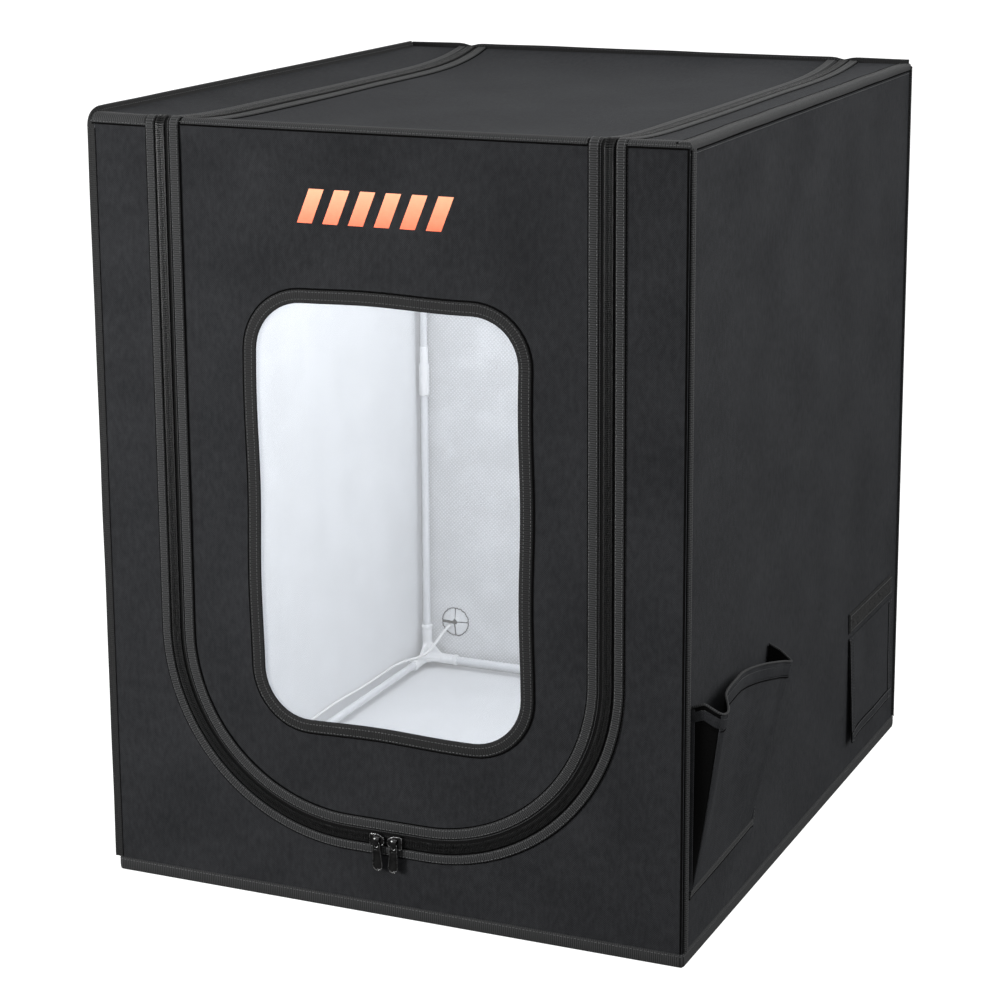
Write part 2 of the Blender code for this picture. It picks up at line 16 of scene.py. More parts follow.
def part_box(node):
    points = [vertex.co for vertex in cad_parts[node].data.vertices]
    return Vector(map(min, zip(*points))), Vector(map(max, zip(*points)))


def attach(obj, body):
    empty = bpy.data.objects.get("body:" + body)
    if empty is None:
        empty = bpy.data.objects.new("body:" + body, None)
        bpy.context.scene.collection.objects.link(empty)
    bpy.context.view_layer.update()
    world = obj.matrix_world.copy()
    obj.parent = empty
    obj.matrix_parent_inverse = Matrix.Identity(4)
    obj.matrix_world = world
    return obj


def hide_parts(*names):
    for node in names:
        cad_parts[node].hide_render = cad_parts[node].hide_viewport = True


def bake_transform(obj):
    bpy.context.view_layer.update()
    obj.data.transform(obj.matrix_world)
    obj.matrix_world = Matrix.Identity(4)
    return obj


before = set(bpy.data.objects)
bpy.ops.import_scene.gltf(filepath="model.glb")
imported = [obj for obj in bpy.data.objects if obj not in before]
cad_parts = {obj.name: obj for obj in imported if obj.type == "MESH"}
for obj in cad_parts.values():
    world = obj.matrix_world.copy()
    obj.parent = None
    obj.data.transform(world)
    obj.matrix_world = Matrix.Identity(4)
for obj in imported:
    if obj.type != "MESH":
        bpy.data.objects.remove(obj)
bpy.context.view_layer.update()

MM = 0.001


def low(node):
    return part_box(node)[0]


def high(node):
    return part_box(node)[1]


# Sizes that the frame gives.
HALF_W = high("floor_panel").x
FRONT = low("floor_panel").y
BACK = high("floor_panel").y
HEIGHT = high("roof_strip_left").z
ROOF_END = high("roof_flap").y
ZIP_HALF = (low("roof_strip_right").x + high("roof_flap").x) / 2
ZIP_LOW = (low("zip_slider_left").z + high("zip_slider_left").z) / 2
WINDOW_LOW = low("window_binding")
WINDOW_HIGH = high("window_binding")
PORT = (low("cable_port") + high("cable_port")) / 2
COVER_LOW = low("cable_cover")
COVER_HIGH = high("cable_cover")
BAND = high("bottom_binding").z

# Sizes of the sewing.
ZIP_R = 0.170
CLOTH = 0.0016  # outer fabric, lining and what lies between
BEND = 0.006  # radius over the front top edge
ROOF_SAG = 0.0148
ROOF_SPAN_X = 0.27  # half the roof's free width, which sets how the sag leans to the left
ROOF_SPAN_Y = 0.322  # from the middle to the front and rear top tubes, where the sag ends
WINDOW_TAPE = 0.011
WINDOW_R = 0.045
OPENING_Y = (0.170, 0.290)
OPENING_Z = (0.062, 0.134)
STITCH = 0.0032  # from one stitch to the next
TOOTH = 0.0016  # from one zip tooth to the next

# The camera: where it is, where it looks, and its lens.
CAMERA_AT = Vector((0.9913, -2.3249, 0.9821))
CAMERA_TURN = 23.78
CAMERA_TILT = 12.97
CAMERA_ROLL = -0.32
CAMERA_LENS = 97.24
CAMERA_SHIFT = -0.10


# ---------------------------------------------------------------- materials


class Nodes:
    """A material's node tree, with its Principled shader as .shader."""

    def __init__(self, name):
        self.made = bpy.data.materials.new(name)
        self.made.use_nodes = True
        self.tree = self.made.node_tree
        self.shader = self.tree.nodes["Principled BSDF"]
        self.uv = self.tree.nodes.new("ShaderNodeUVMap").outputs["UV"]
        split = self.tree.nodes.new("ShaderNodeSeparateXYZ")
        self.tree.links.new(self.uv, split.inputs[0])
        self.u, self.v = split.outputs["X"], split.outputs["Y"]

    def put(self, socket, value):
        if isinstance(value, bpy.types.NodeSocket):
            self.tree.links.new(value, socket)
        else:
            socket.default_value = value

    def set(self, **values):
        for name, value in values.items():
            self.put(self.shader.inputs[name.replace("_", " ")], value)
        return self

    def math(self, operation, *values):
        node = self.tree.nodes.new("ShaderNodeMath")
        node.operation = operation
        for socket, value in zip(node.inputs, values):
            self.put(socket, value)
        return node.outputs[0]

    def wave(self, coordinate, period, phase=0.0):
        """A sine from 0 to 1 along a coordinate in metres."""
        turn = self.math("MULTIPLY_ADD", coordinate, 2 * math.pi / period, phase)
        return self.math("MULTIPLY_ADD", self.math("SINE", turn), 0.5, 0.5)

    def noise(self, size, detail=2.0, stretch=(1, 1, 1), on_object=False):
        """Noise whose blotches are about size metres."""
        place = self.uv
        if on_object:
            place = self.tree.nodes.new("ShaderNodeTexCoord").outputs["Object"]
        scale = self.tree.nodes.new("ShaderNodeVectorMath")
        scale.operation = "MULTIPLY"
        self.put(scale.inputs[0], place)
        scale.inputs[1].default_value = [s / size for s in stretch]
        node = self.tree.nodes.new("ShaderNodeTexNoise")
        node.inputs["Scale"].default_value = 1.0
        node.inputs["Detail"].default_value = detail
        self.put(node.inputs["Vector"], scale.outputs[0])
        return node.outputs["Fac"]

    def ramp(self, factor, *stops):
        """Colours by factor: each stop is (position, (r, g, b))."""
        node = self.tree.nodes.new("ShaderNodeValToRGB")
        marks = node.color_ramp.elements
        while len(marks) < len(stops):
            marks.new(0.5)
        for mark, (position, colour) in zip(marks, stops):
            mark.position = position
            mark.color = (*colour, 1)
        self.put(node.inputs["Fac"], factor)
        return node.outputs["Color"]

    def range(self, factor, start, end):
        node = self.tree.nodes.new("ShaderNodeMapRange")
        self.put(node.inputs["Value"], factor)
        node.inputs["To Min"].default_value = start
        node.inputs["To Max"].default_value = end
        return node.outputs["Result"]

    def bump(self, height, distance, strength=1.0):
        node = self.tree.nodes.new("ShaderNodeBump")
        node.inputs["Distance"].default_value = distance
        node.inputs["Strength"].default_value = strength
        self.put(node.inputs["Height"], height)
        self.put(self.shader.inputs["Normal"], node.outputs["Normal"])
        return self


def grey(value, warm=0.0):
    return (value * (1 + warm), value, value * (1 - warm))


def cloth_material():
    """Matte black polyester in a plain weave: crossing threads a millimetre apart."""
    m = Nodes("black woven polyester")
    warp = m.wave(m.u, 1.9 * MM)
    weft = m.wave(m.v, 1.9 * MM)
    weave = m.math("ABSOLUTE", m.math("SUBTRACT", warp, weft))
    fibre = m.noise(1.5 * MM, 3)
    slub = m.noise(4.0 * MM, 3, stretch=(1, 0.45, 1))
    patch = m.noise(80 * MM, 3)
    mixed = m.math("MULTIPLY_ADD", weave, 0.50, m.math("MULTIPLY", fibre, 0.50))
    broad = m.math("MULTIPLY_ADD", patch, 0.45, m.math("MULTIPLY", slub, 0.55))
    tone = m.math("MULTIPLY_ADD", broad, 0.55, m.math("MULTIPLY", mixed, 0.45))
    colour = m.ramp(tone, (0.34, (0.0070, 0.0074, 0.0083)), (0.66, (0.0245, 0.0253, 0.0274)))
    m.set(Base_Color=colour, Roughness=m.range(fibre, 0.76, 0.98), Specular_IOR_Level=0.11)
    m.set(Sheen_Weight=0.018, Sheen_Roughness=0.45, Sheen_Tint=(0.75, 0.80, 0.88, 1))
    return m.bump(mixed, 0.28 * MM, 0.9).made


def shade_material():
    """Painted shade: near-black cloth, darker than the cloth itself, put in folds, gaps and along tape edges
    where shade falls.
    """
    m = Nodes("painted shade in folds and gaps")
    fibre = m.noise(1.5 * MM, 2)
    m.set(Base_Color=m.ramp(fibre, (0.3, grey(0.0012)), (0.7, grey(0.0035))), Roughness=0.95)
    m.set(Specular_IOR_Level=0.03)
    return m.bump(fibre, 0.2 * MM, 0.5).made


def tape_material(name, rib, dark, light):
    """Grosgrain: ribs across the tape, which lie along its v, and fine threads between them."""
    m = Nodes(name)
    ribs = m.wave(m.u, rib)
    threads = m.wave(m.v, 0.9 * MM)
    fibre = m.noise(0.8 * MM, 2)
    # The colour follows the ribs' relief: lighter on the ribs and darker in the hollows between them, which
    # is painted shade, over the threads' own tone.
    rib_relief_and_shade = m.math("MULTIPLY_ADD", ribs, 0.62, m.math("MULTIPLY", threads, 0.18))
    rib_relief_and_shade = m.math("MULTIPLY_ADD", fibre, 0.30, rib_relief_and_shade)
    colour = m.ramp(rib_relief_and_shade, (0.25, grey(dark, -0.02)), (0.85, grey(light, -0.03)))
    m.set(Base_Color=colour, Roughness=m.range(fibre, 0.60, 0.85), Specular_IOR_Level=0.24)
    m.set(Sheen_Weight=0.03, Sheen_Roughness=0.4)
    return m.bump(rib_relief_and_shade, 0.35 * MM, 0.9).made


def zip_tape_material():
    """Fine herringbone of a zip's tape."""
    m = Nodes("zip tape")
    zig = m.math("PINGPONG", m.v, 1.6 * MM)
    rows = m.wave(m.math("ADD", m.u, zig), 1.0 * MM)
    colour = m.ramp(rows, (0.2, grey(0.0014)), (0.9, grey(0.0048, -0.02)))
    m.set(Base_Color=colour, Roughness=0.85, Specular_IOR_Level=0.10)
    return m.bump(rows, 0.15 * MM, 0.6).made


def teeth_material():
    m = Nodes("nylon zip teeth")
    worn = m.noise(3 * MM, 2, on_object=True)
    m.set(Base_Color=m.ramp(worn, (0.3, grey(0.003)), (0.7, grey(0.010, -0.02))))
    m.set(Roughness=m.range(worn, 0.38, 0.52), Specular_IOR_Level=0.24)
    return m.bump(m.noise(0.5 * MM, 1, on_object=True), 0.03 * MM, 0.4).made


def thread_material():
    """Two-ply sewing thread, a little lighter than the cloth."""
    m = Nodes("black sewing thread")
    ply = m.wave(m.math("ADD", m.u, m.v), 0.6 * MM)
    m.set(Base_Color=m.ramp(ply, (0.2, grey(0.018)), (0.8, grey(0.060, -0.03))), Roughness=0.5)
    return m.bump(ply, 0.05 * MM, 0.5).made


def lining_material(name, cell, depth, base, spread=0.08):
    """Silver-white coated lining, embossed with a fine net."""
    m = Nodes(name)
    net = m.math("MULTIPLY", m.wave(m.math("ADD", m.u, m.v), cell),
                 m.wave(m.math("SUBTRACT", m.u, m.v), cell))
    cloudy = m.noise(45 * MM, 3)
    grain = m.noise(2.2 * MM, 2)
    mixed = m.math("MULTIPLY_ADD", net, 0.6, m.math("MULTIPLY", grain, 0.5))
    tone = m.math("MULTIPLY_ADD", cloudy, 0.5, m.math("MULTIPLY", mixed, 0.5))
    dark, light = [(base * s, base * s * 1.015, base * s * 1.04) for s in (1 - spread, 1.0)]
    m.set(Base_Color=m.ramp(tone, (0.36, dark), (0.64, light)))
    m.set(Roughness=m.range(grain, 0.48, 0.68), Specular_IOR_Level=0.30)
    return m.bump(mixed, depth, 0.6).made


def film_material():
    """Thin clear film, slightly uneven, so that its reflections waver."""
    m = Nodes("clear film")
    m.set(Base_Color=(0.97, 0.985, 1.0, 1), Roughness=0.06, Alpha=0.07, IOR=1.45)
    return m.bump(m.noise(60 * MM, 2, stretch=(1, 0.5, 1)), 1.2 * MM, 0.25).made


def enamel_material():
    """Glossy black enamel on die-cast metal, thinner and lighter where fingers rub it."""
    m = Nodes("black enamelled metal")
    rubbed = m.noise(2.5 * MM, 3, on_object=True)
    m.set(Base_Color=m.ramp(rubbed, (0.35, grey(0.0016)), (0.75, grey(0.0080))))
    m.set(Roughness=m.range(rubbed, 0.14, 0.26), Specular_IOR_Level=0.38)
    m.set(Coat_Weight=0.2, Coat_Roughness=0.08)
    return m.bump(m.noise(0.9 * MM, 2, on_object=True), 0.05 * MM, 0.3).made


def worn_edge_material():
    """The same metal where the enamel has worn off its edges."""
    m = Nodes("worn metal edge")
    rubbed = m.noise(2.0 * MM, 3, on_object=True)
    m.set(Base_Color=m.ramp(rubbed, (0.35, grey(0.05)), (0.70, grey(0.30))), Metallic=1.0)
    m.set(Roughness=m.range(rubbed, 0.20, 0.38))
    return m.bump(m.noise(0.7 * MM, 2, on_object=True), 0.04 * MM, 0.3).made


def tube_material():
    m = Nodes("white coated tube")
    streak = m.noise(6 * MM, 3, stretch=(0.08, 1, 1))
    m.set(Base_Color=m.ramp(streak, (0.3, (0.66, 0.675, 0.70)), (0.7, (0.74, 0.755, 0.78))))
    m.set(Roughness=m.range(streak, 0.28, 0.42))
    return m.bump(m.noise(1.5 * MM, 2), 0.04 * MM, 0.3).made


def plastic_material():
    m = Nodes("white moulded plastic")
    grain = m.noise(0.9 * MM, 2, on_object=True)
    shade = m.noise(15 * MM, 2, on_object=True)
    m.set(Base_Color=m.ramp(shade, (0.3, (0.80, 0.81, 0.825)), (0.7, (0.87, 0.875, 0.885))))
    m.set(Roughness=m.range(grain, 0.36, 0.5))
    return m.bump(grain, 0.05 * MM, 0.4).made


def loop_material():
    """Fuzzy loop pile."""
    m = Nodes("loop pile")
    tuft = m.noise(1.3 * MM, 4)
    m.set(Base_Color=m.ramp(tuft, (0.35, grey(0.0016)), (0.7, grey(0.0120, -0.03))), Roughness=0.95)
    m.set(Specular_IOR_Level=0.08, Sheen_Weight=0.05, Sheen_Roughness=0.6)
    return m.bump(tuft, 0.8 * MM, 1.0).made


def cord_material():
    """Braided white cord: two sets of strands that cross round it."""
    m = Nodes("white braided cord")
    one = m.wave(m.math("ADD", m.math("MULTIPLY", m.u, 0.3), m.v), 0.14)
    two = m.wave(m.math("SUBTRACT", m.math("MULTIPLY", m.u, 0.3), m.v), 0.14)
    braid = m.math("MAXIMUM", one, two)
    m.set(Base_Color=m.ramp(braid, (0.3, grey(0.68)), (0.9, grey(0.86))), Roughness=0.6)
    return m.bump(braid, 0.12 * MM, 0.6).made


def print_material():
    """Screen print that runs from deep orange to a light one."""
    m = Nodes("orange print")
    blotch = m.noise(5 * MM, 3)
    fade = m.math("MULTIPLY_ADD", m.v, 1 / 0.034, m.math("MULTIPLY", blotch, 0.22))
    m.set(Base_Color=m.ramp(fade, (0.1, (0.86, 0.13, 0.045)), (0.95, (0.93, 0.33, 0.17))))
    m.set(Roughness=0.52, Specular_IOR_Level=0.4)
    weave = m.math("MULTIPLY", m.wave(m.u, 1.9 * MM), m.wave(m.v, 1.9 * MM))
    return m.bump(weave, 0.08 * MM, 0.5).made


CLOTH_LOOK = cloth_material()
TAPE_LOOK = tape_material("black grosgrain", 1.9 * MM, 0.0028, 0.031)
# A darker copy of the grosgrain: painted shade for the tapes that stand in shade, the window ring, the left
# seams and the rear top edge.
SHADED_TAPE_LOOK = tape_material("black grosgrain painted in shade", 1.9 * MM, 0.0010, 0.0095)
SHADE_LOOK = shade_material()
ZIP_TAPE_LOOK = zip_tape_material()
TEETH_LOOK = teeth_material()
THREAD_LOOK = thread_material()
LINING_LOOK = lining_material("smooth lining", 2.6 * MM, 0.10 * MM, 0.80)
NET_LOOK = lining_material("net lining", 4.4 * MM, 0.45 * MM, 0.77, spread=0.22)
FLOOR_LOOK = lining_material("floor lining", 2.6 * MM, 0.15 * MM, 0.78)
FILM_LOOK = film_material()
ENAMEL_LOOK = enamel_material()
EDGE_LOOK = worn_edge_material()
TUBE_LOOK = tube_material()
PLASTIC_LOOK = plastic_material()
LOOP_LOOK = loop_material()
CORD_LOOK = cord_material()
PRINT_LOOK = print_material()


# ---------------------------------------------------------------- meshes


def unit(vectors):
    vectors = np.asarray(vectors, float)
    return vectors / np.maximum(np.linalg.norm(vectors, axis=-1, keepdims=True), 1e-12)


class Shape:
    """Points, faces, a uv for each face corner and a material index for each face."""

    def __init__(self):
        self.points, self.faces, self.uvs, self.slots = [], [], [], []

    def add(self, points, faces, uvs, slot=0):
        """uvs holds one (u, v) for each point, or one for each face corner."""
        start = len(self.points)
        per_point = len(uvs) == len(points)
        self.points += [tuple(p) for p in points]
        corner = 0
        for face in faces:
            self.faces.append([start + i for i in face])
            for i in face:
                self.uvs.append(uvs[i] if per_point else uvs[corner])
                corner += 1
            self.slots.append(slot)
        return self

    def object(self, name, looks, sharp=40):
        mesh = bpy.data.meshes.new(name)
        mesh.from_pydata(self.points, [], self.faces)
        layer = mesh.uv_layers.new(name="UVMap")
        layer.data.foreach_set("uv", np.array(self.uvs, np.float32).ravel())
        mesh.polygons.foreach_set("material_index", np.array(self.slots, np.int32))
        for look in looks if isinstance(looks, (list, tuple)) else [looks]:
            mesh.materials.append(look)
        mesh.shade_smooth()
        mesh.set_sharp_from_angle(angle=math.radians(sharp))
        mesh.update()
        obj = bpy.data.objects.new(name, mesh)
        bpy.context.scene.collection.objects.link(obj)
        return obj


def place(obj, body, slot, *nodes, blend=None):
    """Puts a finished piece on a body in place of its solids. With blend, it only bakes the piece's transform
    and puts it on no body.
    """
    if blend:
        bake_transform(obj)
    else:
        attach(obj, body)
    if nodes:
        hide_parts(*nodes)
    return obj


class Track:
    """A line with a frame at each point: ahead along it, out of the surface, and aside."""

    def __init__(self, points, outs, closed=False):
        self.p = np.asarray(points, float)
        self.closed = closed
        if closed:
            ahead = np.roll(self.p, -1, 0) - np.roll(self.p, 1, 0)
        else:
            ahead = np.gradient(self.p, axis=0)
        self.ahead = unit(ahead)
        outs = np.broadcast_to(np.asarray(outs, float), self.p.shape)
        self.out = unit(outs - (outs * self.ahead).sum(1, keepdims=True) * self.ahead)
        self.aside = np.cross(self.ahead, self.out)
        ends = np.vstack([self.p, self.p[:1]]) if closed else self.p
        self.s = np.concatenate([[0], np.cumsum(np.linalg.norm(np.diff(ends, axis=0), axis=1))])

    def shifted(self, aside, out):
        """The same frames, moved sideways and outwards."""
        moved = self.p + self.aside * aside + self.out * out
        return Track(moved, self.out, self.closed)

    def spaced(self, step, start=0.0, end=0.0):
        """Frames evenly spaced along the line, from start after its beginning to end before its end."""
        total = self.s[-1]
        count = max(2, round((total - start - end) / step) + (0 if self.closed else 1))
        at = np.linspace(start, total - end, count, endpoint=not self.closed)

        def mix(values):
            wrapped = np.vstack([values, values[:1]]) if self.closed else values
            return np.stack([np.interp(at, self.s, wrapped[:, k]) for k in range(3)], 1)

        made = Track.__new__(Track)
        made.closed, made.p = self.closed, mix(self.p)
        made.ahead, made.out = unit(mix(self.ahead)), unit(mix(self.out))
        made.aside = np.cross(made.ahead, made.out)
        made.s = at
        return made


def sweep(shape, track, profile, slot=0, taper=None):
    """Carries a closed profile of (aside, out) points along a track. taper scales it at each point."""
    ring = np.asarray(profile, float)
    count, around = len(track.p), len(ring)
    scale = np.ones(count) if taper is None else np.asarray(taper)
    points = (
        track.p[:, None]
        + track.aside[:, None] * (ring[None, :, :1] * scale[:, None, None])
        + track.out[:, None] * (ring[None, :, 1:] * scale[:, None, None])
    ).reshape(-1, 3)
    girth = np.concatenate([[0], np.cumsum(np.linalg.norm(np.roll(ring, -1, 0) - ring, axis=1))])
    faces, uvs = [], []
    rows = count if track.closed else count - 1
    for i in range(rows):
        k = (i + 1) % count
        u0, u1 = track.s[i], track.s[i + 1] if i + 1 < len(track.s) else track.s[-1] + 0.002
        for j in range(around):
            n = (j + 1) % around
            faces.append((i * around + j, i * around + n, k * around + n, k * around + j))
            uvs += [(u0, girth[j]), (u0, girth[j + 1]), (u1, girth[j + 1]), (u1, girth[j])]
    if not track.closed:
        for row, turn in ((0, -1), (count - 1, 1)):
            face = [row * around + j for j in range(around)][::turn]
            faces.append(face)
            uvs += [tuple(ring[i % around]) for i in face]
    a, b, c = (points[i] for i in faces[0][:3])
    middle = points[: around].mean(0)
    if np.dot(np.cross(b - a, c - a), a - middle) < 0:
        turned, at = [], 0
        for face in faces:
            turned += uvs[at : at + len(face)][::-1]
            at += len(face)
        faces = [tuple(face)[::-1] for face in faces]
        uvs = turned
    return shape.add(points, faces, uvs, slot)


def ribbon(near, far, base, top, edge=0.0005, crown=0.0):
    """The section of a flat tape between two offsets, with round edges and a crown across it."""
    near, far = sorted((near, far))
    points = []
    for x, y, start in (
        (far - edge, top - edge, 90), (near + edge, top - edge, 180)
    ):
        first = 0 if start == 90 else 90
        angles = [first + 30 * k for k in range(4)]
        for a in angles:
            r = math.radians(a)
            points.append((x + edge * math.cos(r), y + edge * math.sin(r)))
    if crown:
        middle = [(far - edge + (near - far + 2 * edge) * k / 6, top) for k in range(1, 6)]
        points = points[:4] + [
            (x, y + crown * (1 - ((x - (near + far) / 2) / ((far - near) / 2)) ** 2))
            for x, y in middle
        ] + points[4:]
    return points + [(near, base), (far, base)]


def round_section(radius, sides=10, flat=1.0):
    angles = [2 * math.pi * k / sides for k in range(sides)]
    return [(radius * math.cos(a), radius * flat * math.sin(a)) for a in angles]


def bead(length, width, height, sides=6, rings=(-0.36, 0.36), bow=0.0):
    """A small rounded bar along its first axis, as (points, faces)."""
    points = [(-length / 2, 0, 0)]
    for r in rings:
        for k in range(sides):
            a = 2 * math.pi * k / sides
            rise = bow * (1 - (2 * r) ** 2)
            points.append((r * length, width / 2 * math.cos(a), height / 2 * math.sin(a) + rise))
    points.append((length / 2, 0, 0))
    faces = [(0, 1 + (k + 1) % sides, 1 + k) for k in range(sides)]
    for r in range(len(rings) - 1):
        a, b = 1 + r * sides, 1 + (r + 1) * sides
        faces += [(a + k, a + (k + 1) % sides, b + (k + 1) % sides, b + k) for k in range(sides)]
    last, tip = 1 + (len(rings) - 1) * sides, len(points) - 1
    faces += [(last + k, last + (k + 1) % sides, tip) for k in range(sides)]
    return np.array(points), faces


def scatter(shape, track, template, across=False, slot=0):
    """One copy of a bead at each point of a track, along it or across it."""
    pattern, faces = template
    along, side = (track.aside, -track.ahead) if across else (track.ahead, track.aside)
    for p, a, b, c in zip(track.p, along, side, track.out):
        points = p + pattern[:, :1] * a + pattern[:, 1:2] * b + pattern[:, 2:] * c
        shape.add(points, faces, pattern[:, :2].tolist(), slot)
    return shape


def stitches(shape, track, aside, out, step=STITCH, start=0.0, end=0.0, slot=0):
    """A row of stitches beside a track."""
    row = track.shifted(aside, out).spaced(step, start, end)
    return scatter(shape, row, bead(step * 0.72, 0.00062, 0.00046, sides=5, bow=0.0001), slot=slot)


def inside(points, outline):
    """Which points lie inside a closed outline."""
    x, y = points[:, 0], points[:, 1]
    found = np.zeros(len(points), bool)
    for (x0, y0), (x1, y1) in zip(outline, np.roll(outline, -1, 0)):
        if y0 == y1:
            continue
        crosses = (y0 > y) != (y1 > y)
        found ^= crosses & (x < (x1 - x0) * (y - y0) / (y1 - y0) + x0)
    return found


def fine(outline, step):
    """The outline with no side longer than step."""
    points = []
    for a, b in zip(outline, np.roll(outline, -1, 0)):
        count = max(1, math.ceil(math.dist(a, b) / step))
        points += [tuple(a + (b - a) * k / count) for k in range(count)]
    return np.array(points)


def soft_step(x):
    x = np.clip(x, 0, 1)
    return x * x * (3 - 2 * x)


def triangulate(outlines, cell):
    """(points, triangles, distance from the nearest edge) of an outline with holes."""
    rings = [fine(np.array(o, float), cell) for o in outlines]
    border = np.vstack(rings)
    lo, hi = border.min(0), border.max(0)
    counts = np.maximum(2, np.round((hi - lo) / cell).astype(int))
    xs = np.linspace(lo[0], hi[0], counts[0] + 1)[1:-1]
    ys = np.linspace(lo[1], hi[1], counts[1] + 1)[1:-1]
    grid = np.stack(np.meshgrid(xs, ys), -1).reshape(-1, 2)
    kept = inside(grid, rings[0])
    for ring in rings[1:]:
        kept &= ~inside(grid, ring)
    grid = grid[kept]
    near = np.array([np.min(((border - g) ** 2).sum(1)) for g in grid]) if len(grid) else grid
    grid = grid[near > (0.45 * cell) ** 2]
    points = np.vstack([border, grid])
    edges, start = [], 0
    for ring in rings:
        edges += [(start + k, start + (k + 1) % len(ring)) for k in range(len(ring))]
        start += len(ring)
    flat = [Vector(p) for p in points.tolist()]
    made = geometry.delaunay_2d_cdt(flat, edges, [], 0, 1e-7)
    points = np.array([tuple(p) for p in made[0]])
    triangles = np.array(made[2])
    middles = points[triangles].mean(1)
    kept = inside(middles, rings[0])
    for ring in rings[1:]:
        kept &= ~inside(middles, ring)
    triangles = triangles[kept]
    far = np.array([np.sqrt(np.min(((border - p) ** 2).sum(1))) for p in points])
    return points, triangles, far


def cloth(name, outlines, surface, looks, cell=0.008, thick=CLOTH, outer=None, inner=None, back=None):
    """A closed sheet of cloth. surface(a, b, depth) gives places, with depth into the tent.

    outer, inner and back take the flat points and their distance from the edge. outer gives
    the depth of the outer side, inner what the lining hangs further in, and back the depth of
    the inner side where it doesn't follow the outer one.
    """
    flat, triangles, far = triangulate(outlines, cell)
    a, b = flat[:, 0], flat[:, 1]
    front = np.zeros(len(flat)) if outer is None else outer(a, b, far)
    behind = front + thick
    if inner:
        behind = behind + inner(a, b, far)
    if back:
        behind = back(a, b, far)
    top, bottom = surface(a, b, front), surface(a, b, behind)
    first = top[triangles[0]]
    outward = (top - bottom)[triangles[0][0]]
    if np.dot(np.cross(first[1] - first[0], first[2] - first[0]), outward) < 0:
        triangles = triangles[:, ::-1]
    uv = flat.tolist()
    shape = Shape().add(top, triangles.tolist(), uv)
    count = len(flat)
    sides = {}
    for t in triangles.tolist():
        for i, j in ((t[0], t[1]), (t[1], t[2]), (t[2], t[0])):
            sides[(i, j)] = (j, i) not in sides
            if (j, i) in sides:
                sides[(j, i)] = False
    shape.points += [tuple(p) for p in bottom]
    for t in triangles[:, ::-1].tolist():
        shape.faces.append([count + i for i in t])
        shape.uvs += [uv[i] for i in t]
        shape.slots.append(1 if len(looks) > 1 else 0)
    for (i, j), open_edge in sides.items():
        if open_edge:
            shape.faces.append([j, i, count + i, count + j])
            shape.uvs += [uv[j], uv[i], uv[i], uv[j]]
            shape.slots.append(0)
    return shape.object(name, looks, sharp=50)


def ripple(a, b, seed, size, stretch=(1.0, 1.0)):
    """Smooth noise from about -1 to 1 at flat points, its waves about size metres."""
    return np.array([
        2 * noise.noise(Vector((x * stretch[0] / size, y * stretch[1] / size, seed)))
        for x, y in zip(a, b)
    ])


def rectangle(low_corner, high_corner):
    (x0, y0), (x1, y1) = low_corner, high_corner
    return [(x0, y0), (x1, y0), (x1, y1), (x0, y1)]


def arc(centre, radius, start, end, steps):
    angles = [math.radians(start + (end - start) * k / steps) for k in range(steps + 1)]
    return [(centre[0] + radius * math.cos(a), centre[1] + radius * math.sin(a)) for a in angles]


def rounded(centre, width, height, radius, steps=12):
    """A rectangle with round corners, anticlockwise."""
    across, up = width / 2 - radius, height / 2 - radius
    points = []
    for sx, sy, start in ((1, 1, 0), (-1, 1, 90), (-1, -1, 180), (1, -1, 270)):
        middle = (centre[0] + sx * across, centre[1] + sy * up)
        points += arc(middle, radius, start, start + 90, steps)
    return points


def zip_line(offset, top, steps=40):
    """The U at offset outside the zips' middle line, from top left to top right, as (x, z)."""
    half, radius, foot = ZIP_HALF + offset, ZIP_R + offset, ZIP_LOW - offset
    left = arc((-half + radius, foot + radius), radius, 180, 270, steps)
    right = arc((half - radius, foot + radius), radius, 270, 360, steps)
    return [(-half, top)] + left + right + [(half, top)]


# ---------------------------------------------------------------- the cover's surfaces


def roof_height(x, y):
    """The roof sags between the frame's top tubes, more on the left than on the right."""
    along = np.minimum(np.abs(y / ROOF_SPAN_Y), 1)
    sag = ROOF_SAG * (1 - 0.25 * x / ROOF_SPAN_X)
    sag = sag * (1 - np.abs(x / HALF_W) ** 4) * (1 - along ** 6)
    crease = 0.0011 * np.sin(x * 31 + 5 * y) * np.cos(y * 17 - 1) * (1 - np.abs(x / HALF_W) ** 2)
    return HEIGHT - sag + crease * (1 - along ** 2)


def on_front(a, b, depth):
    return np.stack([a, FRONT + depth, b], 1)


def on_back(a, b, depth):
    return np.stack([a, BACK - depth, b], 1)


def on_left(a, b, depth):
    return np.stack([-HALF_W + depth, a, b], 1)


def on_right(a, b, depth):
    return np.stack([HALF_W - depth, a, b], 1)


def on_floor(a, b, depth):
    return np.stack([a, b, depth], 1)


def on_roof(a, b, depth):
    """The roof; b runs on round the front top edge and a little way down the front."""
    start = FRONT + BEND
    over = np.clip((start - b) / BEND, 0, math.pi / 2)
    down = np.maximum(start - b - BEND * math.pi / 2, 0)
    lift = roof_height(a, np.maximum(b, start)) - BEND
    radius = BEND - depth
    y = np.maximum(b, start) - radius * np.sin(over)
    return np.stack([a, y, lift + radius * np.cos(over) - down], 1)


EDGE_B = FRONT + BEND - BEND * math.pi / 2  # where the roof's cloth has turned down the front
FRONT_TOP = HEIGHT - BEND  # height there


def across_roof(x, y):
    """Which way is up from the roof at a point."""
    step = 0.002
    a, b = np.array([x]), np.array([y])
    dx = (roof_height(a + step, b) - roof_height(a - step, b))[0] / (2 * step)
    dy = (roof_height(a, b + step) - roof_height(a, b - step))[0] / (2 * step)
    return np.array((-dx, -dy, 1.0))


